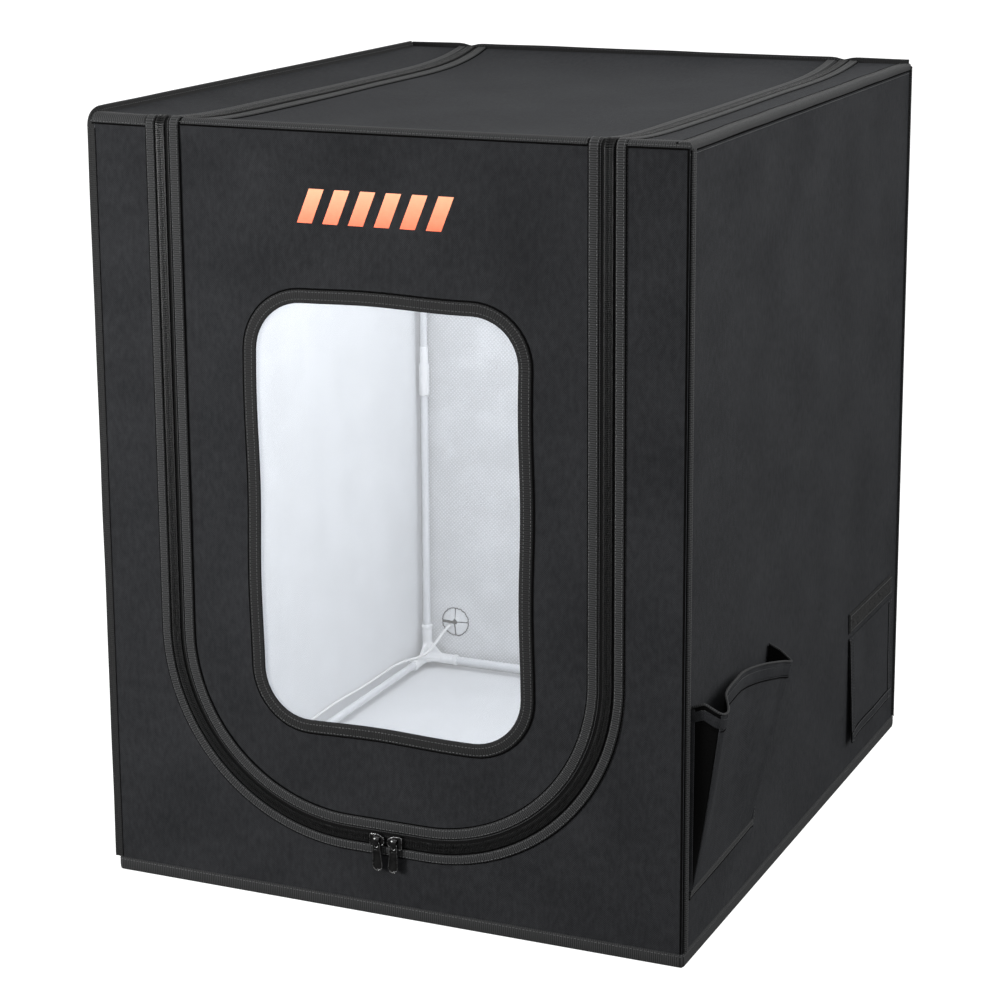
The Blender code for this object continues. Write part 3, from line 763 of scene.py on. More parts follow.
def zip_track():
    """The zips' middle line: back edge, left roof, down the front, round the U and back."""
    points, outs = [], []
    for y in np.linspace(ROOF_END, FRONT + BEND, 90):
        points.append((-ZIP_HALF, y, float(roof_height(np.array([-ZIP_HALF]), np.array([y]))[0])))
        outs.append(across_roof(-ZIP_HALF, y))
    lift = points[-1][2] - BEND
    for k in range(1, 9):
        turn = math.pi / 2 * k / 8
        y, z = FRONT + BEND - BEND * math.sin(turn), lift + BEND * math.cos(turn)
        points.append((-ZIP_HALF, y, z))
        outs.append((0, -math.sin(turn), math.cos(turn)))
    for x, z in fine_open(zip_line(0, FRONT_TOP)[1:-1], 0.006, first=(-ZIP_HALF, lift)):
        points.append((x, FRONT, z))
        outs.append((0, -1, 0))
    lift = float(roof_height(np.array([ZIP_HALF]), np.array([FRONT + BEND]))[0]) - BEND
    for z in np.linspace(ZIP_LOW + ZIP_R + 0.006, lift, 76):
        points.append((ZIP_HALF, FRONT, z))
        outs.append((0, -1, 0))
    for k in range(1, 9):
        turn = math.pi / 2 * (1 - k / 8)
        y, z = FRONT + BEND - BEND * math.sin(turn), lift + BEND * math.cos(turn)
        points.append((ZIP_HALF, y, z))
        outs.append((0, -math.sin(turn), math.cos(turn)))
    for y in np.linspace(FRONT + BEND, ROOF_END, 90)[1:]:
        points.append((ZIP_HALF, y, float(roof_height(np.array([ZIP_HALF]), np.array([y]))[0])))
        outs.append(across_roof(ZIP_HALF, y))
    return Track(points, outs)


def fine_open(points, step, first):
    """Points along an open line, no further apart than step, starting below first."""
    line = [first] + list(points)
    made = []
    for (x0, z0), (x1, z1) in zip(line, line[1:]):
        count = max(1, math.ceil(math.dist((x0, z0), (x1, z1)) / step))
        made += [(x0 + (x1 - x0) * k / count, z0 + (z1 - z0) * k / count) for k in range(1, count + 1)]
    return made


ZIP = zip_track()


def stretch_of(track, keep):
    """The points of a track that keep() picks, as a track of its own."""
    chosen = np.array([keep(p) for p in track.p])
    return Track(track.p[chosen], track.out[chosen])


# The hinge between the door and the roof lies across this line; place() takes it as a blend but only bakes
# the piece's transform, so no points follow the hinge.
HINGE_START = (0, FRONT, FRONT_TOP)
HINGE_END = (0, FRONT + BEND, HEIGHT)
REAR_START = (0, BACK, HEIGHT - 0.0045)
REAR_END = (0, BACK - 0.0002, HEIGHT + 0.0025)


# ---------------------------------------------------------------- camera, stage, lights


def build_camera():
    turn, tilt, roll = (math.radians(v) for v in (CAMERA_TURN, CAMERA_TILT, CAMERA_ROLL))
    back = Vector((math.sin(turn) * math.cos(tilt), -math.cos(turn) * math.cos(tilt), math.sin(tilt)))
    right = (-back).cross(Vector((0, 0, 1))).normalized()
    up = right.cross(-back)
    level_right = right * math.cos(roll) + up * math.sin(roll)
    level_up = up * math.cos(roll) - right * math.sin(roll)
    lens = bpy.data.cameras.new("camera")
    lens.lens = CAMERA_LENS
    lens.sensor_width = 36
    lens.shift_y = CAMERA_SHIFT
    lens.clip_start, lens.clip_end = 0.01, 100
    camera = bpy.data.objects.new("camera", lens)
    axes = Matrix((level_right, level_up, back)).transposed()
    camera.matrix_world = Matrix.Translation(CAMERA_AT) @ axes.to_4x4()
    bpy.context.scene.collection.objects.link(camera)
    bpy.context.scene.camera = camera


def build_floor():
    """A plain pale floor, bright enough that only a faint shadow shows."""
    mesh = bpy.data.meshes.new("floor")
    sheet = bmesh.new()
    bmesh.ops.create_grid(sheet, x_segments=8, y_segments=8, size=20)
    sheet.to_mesh(mesh)
    sheet.free()
    floor = bpy.data.objects.new("floor", mesh)
    floor.location.z = -0.0002
    bpy.context.scene.collection.objects.link(floor)
    look = bpy.data.materials.new("pale floor")
    look.use_nodes = True
    shader = look.node_tree.nodes["Principled BSDF"]
    shader.inputs["Base Color"].default_value = (0.30, 0.30, 0.30, 1)
    shader.inputs["Roughness"].default_value = 0.9
    shader.inputs["Specular IOR Level"].default_value = 0.1
    shader.inputs["Emission Color"].default_value = (1, 1, 1, 1)
    shader.inputs["Emission Strength"].default_value = 0.88
    mesh.materials.append(look)
    floor.visible_diffuse = False
    floor.visible_glossy = False


def area_light(name, at, look_at, size, power, colour=(1, 1, 1), hidden=True):
    light = bpy.data.lights.new(name, "AREA")
    light.shape = "RECTANGLE"
    light.size, light.size_y = size
    light.energy = power
    light.color = colour
    obj = bpy.data.objects.new(name, light)
    obj.location = at
    obj.rotation_euler = (Vector(look_at) - Vector(at)).to_track_quat("-Z", "Y").to_euler()
    obj.visible_camera = not hidden
    bpy.context.scene.collection.objects.link(obj)
    return obj


def build_world():
    """White above the horizon and dark below it, as over a studio floor that throws little back."""
    world = bpy.data.worlds.new("white studio")
    bpy.context.scene.world = world
    world.use_nodes = True
    tree = world.node_tree
    sky = tree.nodes["Background"]
    sky.inputs["Color"].default_value = (1, 1, 1, 1)
    toward = tree.nodes.new("ShaderNodeTexCoord")
    split = tree.nodes.new("ShaderNodeSeparateXYZ")
    fade = tree.nodes.new("ShaderNodeMapRange")
    fade.inputs["From Min"].default_value, fade.inputs["From Max"].default_value = -0.06, 0.06
    fade.inputs["To Min"].default_value, fade.inputs["To Max"].default_value = 0.12, 1.0
    tree.links.new(toward.outputs["Generated"], split.inputs[0])
    tree.links.new(split.outputs["Z"], fade.inputs["Value"])
    tree.links.new(fade.outputs["Result"], sky.inputs["Strength"])


def build_lights():
    build_world()
    bpy.context.scene.view_settings.view_transform = "Standard"
    key = area_light("key light", (-1.35, -1.85, 0.66), (-0.20, FRONT, 0.50), (0.7, 0.6), 11)
    key.data.spread = math.radians(75)
    area_light("top light", (-0.2, -1.7, 2.5), (0, -0.2, HEIGHT), (1.2, 1.2), 8)
    area_light("side light", (1.75, -0.05, 1.30), (HALF_W, 0, 0.60), (0.9, 0.9), 34)
    inner = area_light(
        "inside light", (0, 0, HEIGHT - 0.028), (0, 0, 0), (0.48, 0.56), 2.1, (0.945, 0.97, 1.0)
    )
    inner.visible_glossy = False


# ---------------------------------------------------------------- cloth panels


def build_walls():
    """Floor, side walls, back wall, the front round the door and the roof's side strips."""
    wall_top = HEIGHT - CLOTH - 0.0006
    foot = CLOTH + 0.0006

    def flat_face(a, b, far):
        return 0 * a

    def gentle(seed, size, most, stretch=(1, 1), fade=0.07):
        def dent(a, b, far):
            return most * np.maximum(0.5 + 0.5 * ripple(a, b, seed, size, stretch), 0) * soft_step(far / fade)
        return dent

    floor = cloth(
        "floor_sheet", [rectangle((-HALF_W, FRONT), (HALF_W, BACK))], on_floor,
        [CLOTH_LOOK, FLOOR_LOOK], cell=0.012, outer=flat_face, inner=gentle(4, 0.11, 0.0012),
    )
    place(floor, "root", "black_cloth", "floor_panel")

    def left_folds(a, b, far):
        drape = ripple(a + 0.16 * b, b, 7, 0.062, (1.0, 0.16))
        broad = ripple(a, b, 9, 0.2, (1.0, 0.4))
        held = soft_step(far / 0.05) * soft_step((b - 0.045) / 0.16)
        return held * np.maximum(0.0052 + 0.0046 * drape + 0.0026 * broad, 0)

    left = cloth(
        "left_wall_cloth", [rectangle((FRONT, foot), (BACK, wall_top))], on_left,
        [CLOTH_LOOK, LINING_LOOK], outer=gentle(11, 0.22, 0.0016), inner=left_folds,
    )
    place(left, "root", "black_cloth", "left_wall")

    opening = rectangle((OPENING_Y[0], OPENING_Z[0]), (OPENING_Y[1], OPENING_Z[1]))

    def right_dents(a, b, far):
        broad = 0.5 + 0.5 * ripple(a + 0.25 * b, b, 15, 0.19, (1.0, 0.55))
        drawn = np.exp(-((a - FRONT) / 0.12) ** 2) * np.exp(-((b - 0.55) / 0.18) ** 2)
        return soft_step(far / 0.06) * (0.0018 * broad + 0.0010 * drawn)

    right = cloth(
        "right_wall_cloth", [rectangle((FRONT, foot), (BACK, wall_top - 0.001)), opening], on_right,
        [CLOTH_LOOK, LINING_LOOK], outer=right_dents, inner=gentle(17, 0.10, 0.0032, (1, 0.4)),
    )
    place(right, "root", "black_cloth", "right_wall")

    edge = HALF_W - CLOTH - 0.0006
    hole = arc((PORT.x, PORT.z), 0.0160, 0, 352, 44)
    back = cloth(
        "back_wall_cloth", [rectangle((-edge, foot), (edge, wall_top)), hole], on_back,
        [CLOTH_LOOK, NET_LOOK], outer=gentle(21, 0.24, 0.0018), inner=gentle(23, 0.14, 0.0016),
    )
    place(back, "root", "black_cloth", "back_wall")

    u_line = zip_line(0.001, FRONT_TOP)[::-1]
    border = [(-edge, FRONT_TOP), (-edge, foot), (edge, foot), (edge, FRONT_TOP)] + u_line
    front = cloth(
        "front_cloth", [border], on_front, [CLOTH_LOOK, LINING_LOOK],
        cell=0.007, outer=gentle(31, 0.12, 0.0010, fade=0.04), inner=gentle(33, 0.1, 0.001),
    )
    place(front, "root", "black_cloth", "front_panel")

    strip = ZIP_HALF + 0.001
    for side, near, far in (("left", -HALF_W, -strip), ("right", strip, HALF_W - 0.0015)):
        lid = cloth(
            f"roof_side_cloth_{side}", [rectangle((near, EDGE_B), (far, BACK - 0.0005))], on_roof,
            [CLOTH_LOOK, LINING_LOOK], cell=0.0065,
        )
        place(lid, "root", "black_cloth", f"roof_strip_{side}")


WINDOW_X = (WINDOW_LOW.x + WINDOW_HIGH.x) / 2
WINDOW_Z = (WINDOW_LOW.z + WINDOW_HIGH.z) / 2
WINDOW_W = WINDOW_HIGH.x - WINDOW_LOW.x - 2 * WINDOW_TAPE - 0.005
WINDOW_H = WINDOW_HIGH.z - WINDOW_LOW.z - 2 * WINDOW_TAPE


def door_dents(a, b, far):
    """The door hangs nearly flat, slack between the zips and the window."""
    broad = 0.5 + 0.5 * ripple(a, b, 41, 0.13, (1.0, 0.7))
    fine_part = 0.5 + 0.5 * ripple(a, b, 43, 0.045, (1.0, 0.6))
    return soft_step(far / 0.045) * (0.0013 * broad + 0.0004 * fine_part)


def build_door():
    """The door's cloth, its window with film and binding, and the roof's flap."""
    u_line = zip_line(-0.001, FRONT_TOP)
    frame_line = [
        (x + 0.0008 * math.sin(z * 37), z + 0.0009 * math.sin(x * 41 + 2))
        for x, z in fine(np.array(rounded((WINDOW_X, WINDOW_Z), WINDOW_W, WINDOW_H, WINDOW_R)), 0.006)
    ]
    door = cloth(
        "door_cloth", [u_line, frame_line], on_front, [CLOTH_LOOK, LINING_LOOK],
        cell=0.007, outer=door_dents,
    )
    place(door, "door", "black_cloth", "door_flap")

    wide, tall = WINDOW_W + 0.016, WINDOW_H + 0.016

    def slack(a, b, far):
        return 0.0019 + 0.0011 * (0.5 + 0.5 * ripple(a, b, 51, 0.11, (1, 0.45))) * soft_step(far / 0.05)

    film = cloth(
        "window_film_sheet", [rounded((WINDOW_X, WINDOW_Z), wide, tall, WINDOW_R + 0.008)],
        on_front, [FILM_LOOK], cell=0.009, thick=0.0004, outer=slack,
    )
    place(film, "door", "clear_film", "window_film")

    points = fine(np.array(frame_line), 0.006)
    line = Track([(x, FRONT, z) for x, z in points], (0, -1, 0), closed=True)
    ring = Shape()
    sweep(ring, line, ribbon(-0.0008, 0.0108, -0.0004, 0.0013, 0.0006, crown=0.0003))
    # The ring's tape takes the darker grosgrain copy: painted shade.
    binding = ring.object("window_ring_tape", SHADED_TAPE_LOOK)
    place(binding, "door", "grosgrain", "window_binding")
    sewn = Shape()
    for aside in (0.0028, 0.0092):
        stitches(sewn, line, aside, 0.0015)
    place(sewn.object("window_stitches", THREAD_LOOK), "door", "grosgrain")
    # A near-black line round the ring's outer edge: painted shade.
    groove = sweep(Shape(), line.shifted(0.0116, 0.0001), round_section(0.0008, 8))
    place(groove.object("window_painted_shade", SHADE_LOOK), "door", "grosgrain")

    inside_x = ZIP_HALF - 0.001
    flap = cloth(
        "roof_cloth", [rectangle((-inside_x, EDGE_B), (inside_x, ROOF_END))], on_roof,
        [CLOTH_LOOK, LINING_LOOK], cell=0.0065,
    )
    place(flap, ("door", "roof_flap"), "black_cloth", "roof_flap", blend=(HINGE_START, HINGE_END))


def roof_line(x0, x1, b, depth, step=0.005):
    """A track across the roof's cloth, or down its front, at one flat distance b."""
    xs = np.linspace(x0, x1, max(2, round((x1 - x0) / step)))
    bs = np.full(len(xs), b)
    here = on_roof(xs, bs, np.full(len(xs), depth))
    deeper = on_roof(xs, bs, np.full(len(xs), depth + 0.001))
    return Track(here, here - deeper)


def build_top_tape():
    """Binding folded over the front top edge: on the door, and on each side of it."""
    upper = FRONT + BEND + 0.0066
    reach = ZIP_HALF - 0.0195
    start = ZIP_HALF + 0.0148

    def over(a, b, far):
        return -0.0005 - 0.0009 * soft_step((far + 0.0004) / 0.0012)

    def under(a, b, far):
        return 0 * a

    parts = (
        ("door_top_tape", -reach, reach, EDGE_B + 0.0022, "door_top_binding"),
        ("front_top_tape_left", -HALF_W - 0.0004, -start, EDGE_B - 0.0010, None),
        ("front_top_tape_right", start, HALF_W - 0.0004, EDGE_B + 0.0026, None),
    )
    for name, x0, x1, lower, node in parts:
        band = cloth(
            name, [rectangle((x0, lower), (x1, upper))], on_roof, [TAPE_LOOK],
            cell=0.0022, outer=over, back=under,
        )
        sewn = Shape()
        for b in (lower + 0.0012, upper - 0.0012):
            stitches(sewn, roof_line(x0, x1, b, -0.0014), 0, 0)
        thread = sewn.object(f"{name}_stitches", THREAD_LOOK)
        # A near-black line under each tape's lower edge: painted shadow of the tape's thickness.
        below = sweep(Shape(), roof_line(x0, x1, lower - 0.0008, -0.0001), round_section(0.0008, 8))
        below = below.object(f"{name}_groove", SHADE_LOOK)
        if node:
            place(band, ("door", "roof_flap"), "grosgrain", node, blend=(HINGE_START, HINGE_END))
            place(thread, ("door", "roof_flap"), "grosgrain", blend=(HINGE_START, HINGE_END))
            place(below, ("door", "roof_flap"), "grosgrain", blend=(HINGE_START, HINGE_END))
        else:
            for piece in (band, thread, below):
                place(piece, "root", "grosgrain")


# ---------------------------------------------------------------- zips


def zip_half(name, track, moving, body, slot, nodes=(), blend=None):
    """One side of a zip along a track: tape, teeth, the bound edge of the cloth and its seams."""
    side = -1 if moving else 1
    tape_end, strip = (0.0186, (0.0088, 0.0176)) if moving else (0.0148, (0.0062, 0.0142))
    base = Shape()
    sweep(base, track, ribbon(side * 0.0003, side * tape_end, 0.00005, 0.0007, 0.0002))
    if not moving:
        sweep(base, track, ribbon(-0.0060, 0.0060, -0.0024, -0.0018, 0.0002))
    place(base.object(f"{name}_tape", ZIP_TAPE_LOOK), body, slot, *nodes, blend=blend)
    teeth = Shape()
    row = track.spaced(TOOTH, start=TOOTH / 2 if moving else 0.0)
    tooth = bead(0.0047, 0.00118, 0.0021, sides=6, rings=(-0.42, -0.2, 0.2, 0.42), bow=0.0002)
    scatter(teeth, row.shifted(side * 0.0021, 0.0013), tooth, across=True)
    core = track.shifted(side * 0.0034, 0.0010)
    sweep(teeth, core, round_section(0.0008, 6))
    place(teeth.object(f"{name}_teeth", TEETH_LOOK, sharp=60), body, slot, blend=blend)
    bound = Shape()
    sweep(bound, track, ribbon(side * strip[0], side * strip[1], 0.0003, 0.0017, 0.0005, crown=0.0003))
    if moving:
        sweep(bound, track, ribbon(-0.0070, -0.0080, 0.0003, 0.0014, 0.0004))
    place(bound.object(f"{name}_edge_tape", TAPE_LOOK), body, "grosgrain", blend=blend)
    # Near-black lines along both edges of the bound strip: painted shade in the gaps beside it.
    groove = Shape()
    for aside in (strip[0] - 0.0009, strip[1] + 0.0006):
        sweep(groove, track.shifted(side * aside, 0.0004), round_section(0.0006, 8))
    place(groove.object(f"{name}_grooves", SHADE_LOOK), body, "grosgrain", blend=blend)
    sewn = Shape()
    for aside in (strip[0] + 0.0011, strip[1] - 0.0012):
        stitches(sewn, track, side * aside, 0.0019)
    if not moving:
        stitches(sewn, track, 0.0152, 0.0002)
    place(sewn.object(f"{name}_stitches", THREAD_LOOK), body, "grosgrain", blend=blend)


def build_zips():
    turned = FRONT + BEND
    zip_half("fixed_zip_half", ZIP, False, "root", "zip", ("fixed_zip",))
    on_door = stretch_of(ZIP, lambda p: p[1] < turned + 1e-6)
    zip_half(
        "door_zip_half", on_door, True, ("door", "roof_flap"), "zip", ("door_zip",),
        blend=(HINGE_START, HINGE_END),
    )
    for side, sx in (("left", -1), ("right", 1)):
        on_top = stretch_of(ZIP, lambda p: p[1] > turned - 1e-6 and p[0] * sx > 0)
        zip_half(f"roof_zip_half_{side}", on_top, True, "roof_flap", "zip", (f"roof_zip_{side}",))


# ---------------------------------------------------------------- bindings


def flange_section(reach, thick, foot=0.0016):
    """A tape folded over a standing seam: flat sides and a round outer edge."""
    half = thick / 2
    tip = [
        (half * math.cos(math.radians(a)), reach - half + half * math.sin(math.radians(a)))
        for a in range(0, 181, 30)
    ]
    waist = [(-half * 0.8, reach * 0.45), (-half, -foot), (half, -foot), (half * 0.8, reach * 0.45)]
    return tip + waist


def wavy(points, seed, most, axis):
    """Moves a line's points sideways a little, as sewn tape wanders."""
    moved = [list(p) for p in points]
    for p in moved:
        p[axis] += most * noise.noise(Vector((p[0] * 14, p[1] * 14, p[2] * 14 + seed)))
    return moved


def build_left_bindings():
    """The left seams' tape stands out: up the front, back along the roof, down the rear."""
    y0 = FRONT + 0.0012
    section = flange_section(0.0062, 0.0030)
    zs = np.linspace(BAND + 0.0003, HEIGHT - 0.012, 60)
    up = Track(wavy([(-HALF_W - 0.0002, y0, z) for z in zs], 3, 0.0005, 0), (-1, 0, 0))
    shape = sweep(Shape(), up, section)
    line = Track([(-HALF_W, FRONT, z) for z in zs], (0, -1, 0))
    sweep(shape, line, ribbon(0.0022, -0.0014, -0.0002, 0.0009, 0.0004))
    # The left front seam's tape takes the darker grosgrain copy: painted shade.
    place(shape.object("left_seam_tape", SHADED_TAPE_LOOK), "root", "grosgrain", "corner_binding_left")
    sewn = stitches(Shape(), up, -0.0013, 0.0024)
    place(sewn.object("left_seam_stitches", THREAD_LOOK), "root", "grosgrain")

    radius = 0.012
    points, outs = [], []
    for k in range(13):
        turn = math.pi / 2 * k / 12
        points.append((
            -HALF_W - 0.0002 + 0.0010 * k / 12,
            y0 + radius * (1 - math.cos(turn)),
            HEIGHT - radius + radius * math.sin(turn),
        ))
        outs.append((-math.cos(turn), 0, math.sin(turn)))
    ys = np.linspace(y0 + radius, BACK - 0.0012 - 0.010, 90)[1:]
    points += wavy([(-HALF_W + 0.0008, y, HEIGHT) for y in ys], 5, 0.0010, 0)
    outs += [(-0.10, 0, 1)] * len(ys)
    for k in range(1, 11):
        turn = math.pi / 2 * k / 10
        points.append((
            -HALF_W + 0.0008 - 0.0010 * k / 10,
            BACK - 0.0012 - 0.010 + 0.010 * math.sin(turn),
            HEIGHT - 0.010 * (1 - math.cos(turn)),
        ))
        outs.append((-math.sin(turn), 0, math.cos(turn) + 0.05))
    zs = np.linspace(HEIGHT - 0.010, BAND + 0.0003, 60)[1:]
    points += [(-HALF_W - 0.0002, BACK - 0.0012, z) for z in zs]
    outs += [(-1, 0, 0)] * len(zs)
    edge = Track(points, outs)
    shape = sweep(Shape(), edge, section)
    # The left edge tape takes the darker grosgrain copy: painted shade.
    place(shape.object("left_edge_tape", SHADED_TAPE_LOOK), "root", "grosgrain", "edge_binding_left")
    sewn = stitches(Shape(), edge, 0.0013, 0.0022)
    stitches(sewn, edge, -0.0013, 0.0022)
    place(sewn.object("left_edge_stitches", THREAD_LOOK), "root", "grosgrain")


def build_right_bindings():
    """The right seams' tape is folded down: on the side face at the front, and on the roof."""
    zs = np.linspace(BAND + 0.0003, HEIGHT - 0.004, 90)
    line = Track([(HALF_W, FRONT + 0.0062, z) for z in zs], (1, 0, 0))
    section = ribbon(-0.0036, 0.0036, 0.0001, 0.0018, 0.0007, crown=0.0011)
    shape = sweep(Shape(), line, section)
    sweep(shape, line.shifted(0.0046, 0.0002), round_section(0.0005, 8))
    # Near-black lines in the corner seam and along the tape's inner edge: painted shade.
    seam = Track([(HALF_W - 0.0012, FRONT + 0.0006, z) for z in zs], (1, 0, 0))
    groove = sweep(Shape(), seam, round_section(0.0012, 8))
    sweep(groove, line.shifted(-0.0043, 0.0002), round_section(0.0007, 8))
    place(groove.object("right_seam_painted_shade", SHADE_LOOK), "root", "grosgrain")
    place(shape.object("right_seam_tape", TAPE_LOOK), "root", "grosgrain", "corner_binding_right")
    sewn = stitches(Shape(), line, 0.0026, 0.0022)
    stitches(sewn, line, -0.0026, 0.0022)
    place(sewn.object("right_seam_stitches", THREAD_LOOK), "root", "grosgrain")

    ys = np.linspace(FRONT + 0.0010, BACK - 0.0005, 120)
    roll = Track(wavy([(HALF_W, y, HEIGHT) for y in ys], 8, 0.0006, 2), (0, 0, 1))
    section = [
        (0.0003, -0.0052), (0.0011, -0.0049), (0.0014, -0.0030), (0.0012, -0.0010),
        (0.0004, 0.0006), (-0.0010, 0.0013), (-0.0040, 0.0013), (-0.0080, 0.0008),
        (-0.0104, 0.0004), (-0.0108, -0.0010), (-0.0040, -0.0008), (-0.0016, -0.0012),
        (-0.0002, -0.0026),
    ]
    shape = sweep(Shape(), roll, section)
    zs = np.linspace(HEIGHT - 0.002, BAND + 0.0003, 70)
    corner = Track([(HALF_W + 0.0002, BACK - 0.0012, z) for z in zs], (1, 0, 0))
    sweep(shape, corner, flange_section(0.0026, 0.0023))
    place(shape.object("right_edge_tape", TAPE_LOOK), "root", "grosgrain", "edge_binding_right")
    # Near-black lines beside the roll on the roof and under it on the side: painted shade.
    groove = sweep(Shape(), roll.shifted(-0.0114, 0.0002), round_section(0.0008, 8))
    under = Track([(HALF_W + 0.0002, y, HEIGHT - 0.0060) for y in ys], (1, 0, 0))
    sweep(groove, under, round_section(0.0008, 8))
    place(groove.object("right_edge_grooves", SHADE_LOOK), "root", "grosgrain")
    sewn = stitches(Shape(), Track([(HALF_W, y, HEIGHT - 0.0085) for y in ys], (1, 0, 0)), 0, 0.0002)
    stitches(sewn, roll, -0.0092, 0.0010)
    stitches(sewn, corner, 0.0013, 0.0022)
    place(sewn.object("right_edge_stitches", THREAD_LOOK), "root", "grosgrain")


def build_rear_bindings():
    """A standing tape along the rear top edge, and the strips of cloth that hinge the flap."""
    reach = ZIP_HALF - 0.0010
    section = flange_section(0.0046, 0.0023, foot=0.0042)
    sewn = Shape()

    def standing(x0, x1):
        xs = np.linspace(x0, x1, max(6, round((x1 - x0) / 0.004)))
        dips = 0.0024 * np.exp(-((np.abs(xs) - ZIP_HALF) / 0.007) ** 2)
        line = [(x, BACK - 0.0012, HEIGHT + 0.0004 - dip) for x, dip in zip(xs, dips)]
        return Track(wavy(line, 12, 0.0010, 2), (0, 0.05, 1))

    main = standing(-reach, reach)
    tape = sweep(Shape(), main, section)
    # The rear top tape takes the darker grosgrain copy: painted shade.
    place(tape.object("rear_top_tape", SHADED_TAPE_LOOK), "roof_flap", "grosgrain", "rear_top_binding")
    stitches(sewn, main, -0.0013, 0.0026)
    stitches(sewn, main, 0.0013, 0.0026)
    place(sewn.object("rear_top_stitches", THREAD_LOOK), "roof_flap", "grosgrain")
    for side, sx in (("left", -1), ("right", 1)):
        x0, x1 = sorted((sx * (ZIP_HALF + 0.0002), sx * (HALF_W + (0.0016 if sx < 0 else -0.001))))
        end = sweep(Shape(), standing(x0, x1), section)
        # The rear end tapes take the darker grosgrain copy: painted shade.
        place(end.object(f"rear_end_tape_{side}", SHADED_TAPE_LOOK), "root", "grosgrain")

    xs = np.linspace(-ZIP_HALF + 0.002, ZIP_HALF - 0.002, 60)
    outer = Track([(x, BACK, HEIGHT) for x in xs], (0, 1, 0))
    strip = sweep(Shape(), outer, ribbon(-0.0100, 0.0030, 0.0002, 0.0010, 0.0003))
    place(
        strip.object("rear_hinge_cloth", CLOTH_LOOK), ("root", "roof_flap"), "black_cloth",
        blend=(REAR_START, REAR_END),
    )
    rise = Track([(x, 0, 0) for x in xs], (0, 0, 1))
    inner = [
        (-(BACK - CLOTH - 0.0004), HEIGHT - 0.0110), (-(BACK - CLOTH - 0.0012), HEIGHT - 0.0110),
        (-(BACK - CLOTH - 0.0014), HEIGHT - 0.0042), (-(BACK - CLOTH - 0.0040), HEIGHT - 0.0034),
        (-(BACK - CLOTH - 0.0110), HEIGHT - 0.0040), (-(BACK - CLOTH - 0.0110), HEIGHT - 0.0031),
        (-(BACK - CLOTH - 0.0040), HEIGHT - 0.0024), (-(BACK - CLOTH - 0.0004), HEIGHT - 0.0036),
    ]
    lining = sweep(Shape(), rise, [(a, z) for a, z in inner])
    place(
        lining.object("rear_hinge_lining", LINING_LOOK), ("root", "roof_flap"), "black_cloth",
        blend=((0, BACK - 0.002, HEIGHT - 0.0090), (0, BACK - 0.010, HEIGHT - 0.0030)),
    )


def build_bottom_tape():
    ring = fine(np.array(rounded((0, 0), 2 * HALF_W, BACK - FRONT, 0.0025, 6)), 0.008)
    middle = BAND / 2 + 0.0002
    sides = np.array([(x, y, middle) for x, y in ring])
    inset = 0.01
    centre = np.array([
        [np.clip(x, -HALF_W + inset, HALF_W - inset), np.clip(y, FRONT + inset, BACK - inset), middle]
        for x, y in ring
    ])
    line = Track(sides, sides - centre, closed=True)
    half = BAND / 2 - 0.0003
    shape = sweep(Shape(), line, ribbon(-half, half, -0.0004, 0.0016, 0.0006, crown=0.0005))
    place(shape.object("bottom_tape", TAPE_LOOK), "root", "grosgrain", "bottom_binding")
    sewn = stitches(Shape(), line, -half + 0.0014, 0.0019)
    place(sewn.object("bottom_stitches", THREAD_LOOK), "root", "grosgrain")


# ---------------------------------------------------------------- sliders and pulls


def slab(outlines, thick, cell=0.0011):
    """A flat plate between out 0 and out thick, as (points, faces), from outlines with holes."""
    flat, triangles, far = triangulate(outlines, cell)
    round_edge = 0.22 * thick
    drop = round_edge * (1 - soft_step(far / (2 * round_edge)))
    top = np.column_stack([flat, thick - drop])
    bottom = np.column_stack([flat, 0 * far + drop])
    count = len(flat)
    first = top[triangles[0]]
    if np.cross(first[1] - first[0], first[2] - first[0])[2] < 0:
        triangles = triangles[:, ::-1]
    faces = triangles.tolist()
    open_sides = {}
    for t in faces:
        for i, j in ((t[0], t[1]), (t[1], t[2]), (t[2], t[0])):
            open_sides[(i, j)] = (j, i) not in open_sides
            if (j, i) in open_sides:
                open_sides[(j, i)] = False
    faces = faces + [[count + i for i in t[::-1]] for t in triangles.tolist()]
    faces += [[j, i, count + i, count + j] for (i, j), is_open in open_sides.items() if is_open]
    return np.vstack([top, bottom]), faces


def add_slab(shape, outlines, thick, origin, right, up, out):
    points, faces = slab(outlines, thick)
    right, up, out = (np.array(v, float) for v in (right, up, out))
    placed = np.array(origin) + points[:, :1] * right + points[:, 1:2] * up + points[:, 2:] * out
    return shape.add(placed, faces, points[:, :2].tolist())


def loop_tube(shape, outline, origin, right, up, out, radius, height, slot=0):
    """A thin round rim along a closed outline on a plate."""
    right, up, out = (np.array(v, float) for v in (right, up, out))
    line = [np.array(origin) + x * right + y * up + height * out for x, y in outline]
    return sweep(shape, Track(line, out, closed=True), round_section(radius, 8), slot)


def slider_outline(sx):
    """Nose towards the other slider, wide tail behind it."""
    nose, tail = 0.0038, 0.0061
    points = [(-0.0074, -tail * 0.78), (-0.0056, -tail), (0.0010, -tail), (0.0058, -nose)]
    points += [(0.0072, -0.0016), (0.0072, 0.0016), (0.0058, nose), (0.0010, tail)]
    points += [(-0.0056, tail), (-0.0074, tail * 0.78)]
    return [(-sx * x, y) for x, y in points][:: -sx]


def pull_outline():
    """Narrow round top, straight sides that widen, and a round foot."""
    top = arc((0, 0.0), 0.0034, 0, 180, 10)
    foot = arc((0, -0.0196), 0.0048, 180, 360, 14)
    return top + foot


def inset(outline, by):
    points = np.array(outline)
    ahead = unit(np.roll(points, -1, 0) - np.roll(points, 1, 0))
    inward = np.stack([-ahead[:, 1], ahead[:, 0]], 1)
    return [tuple(p) for p in points + inward * by]


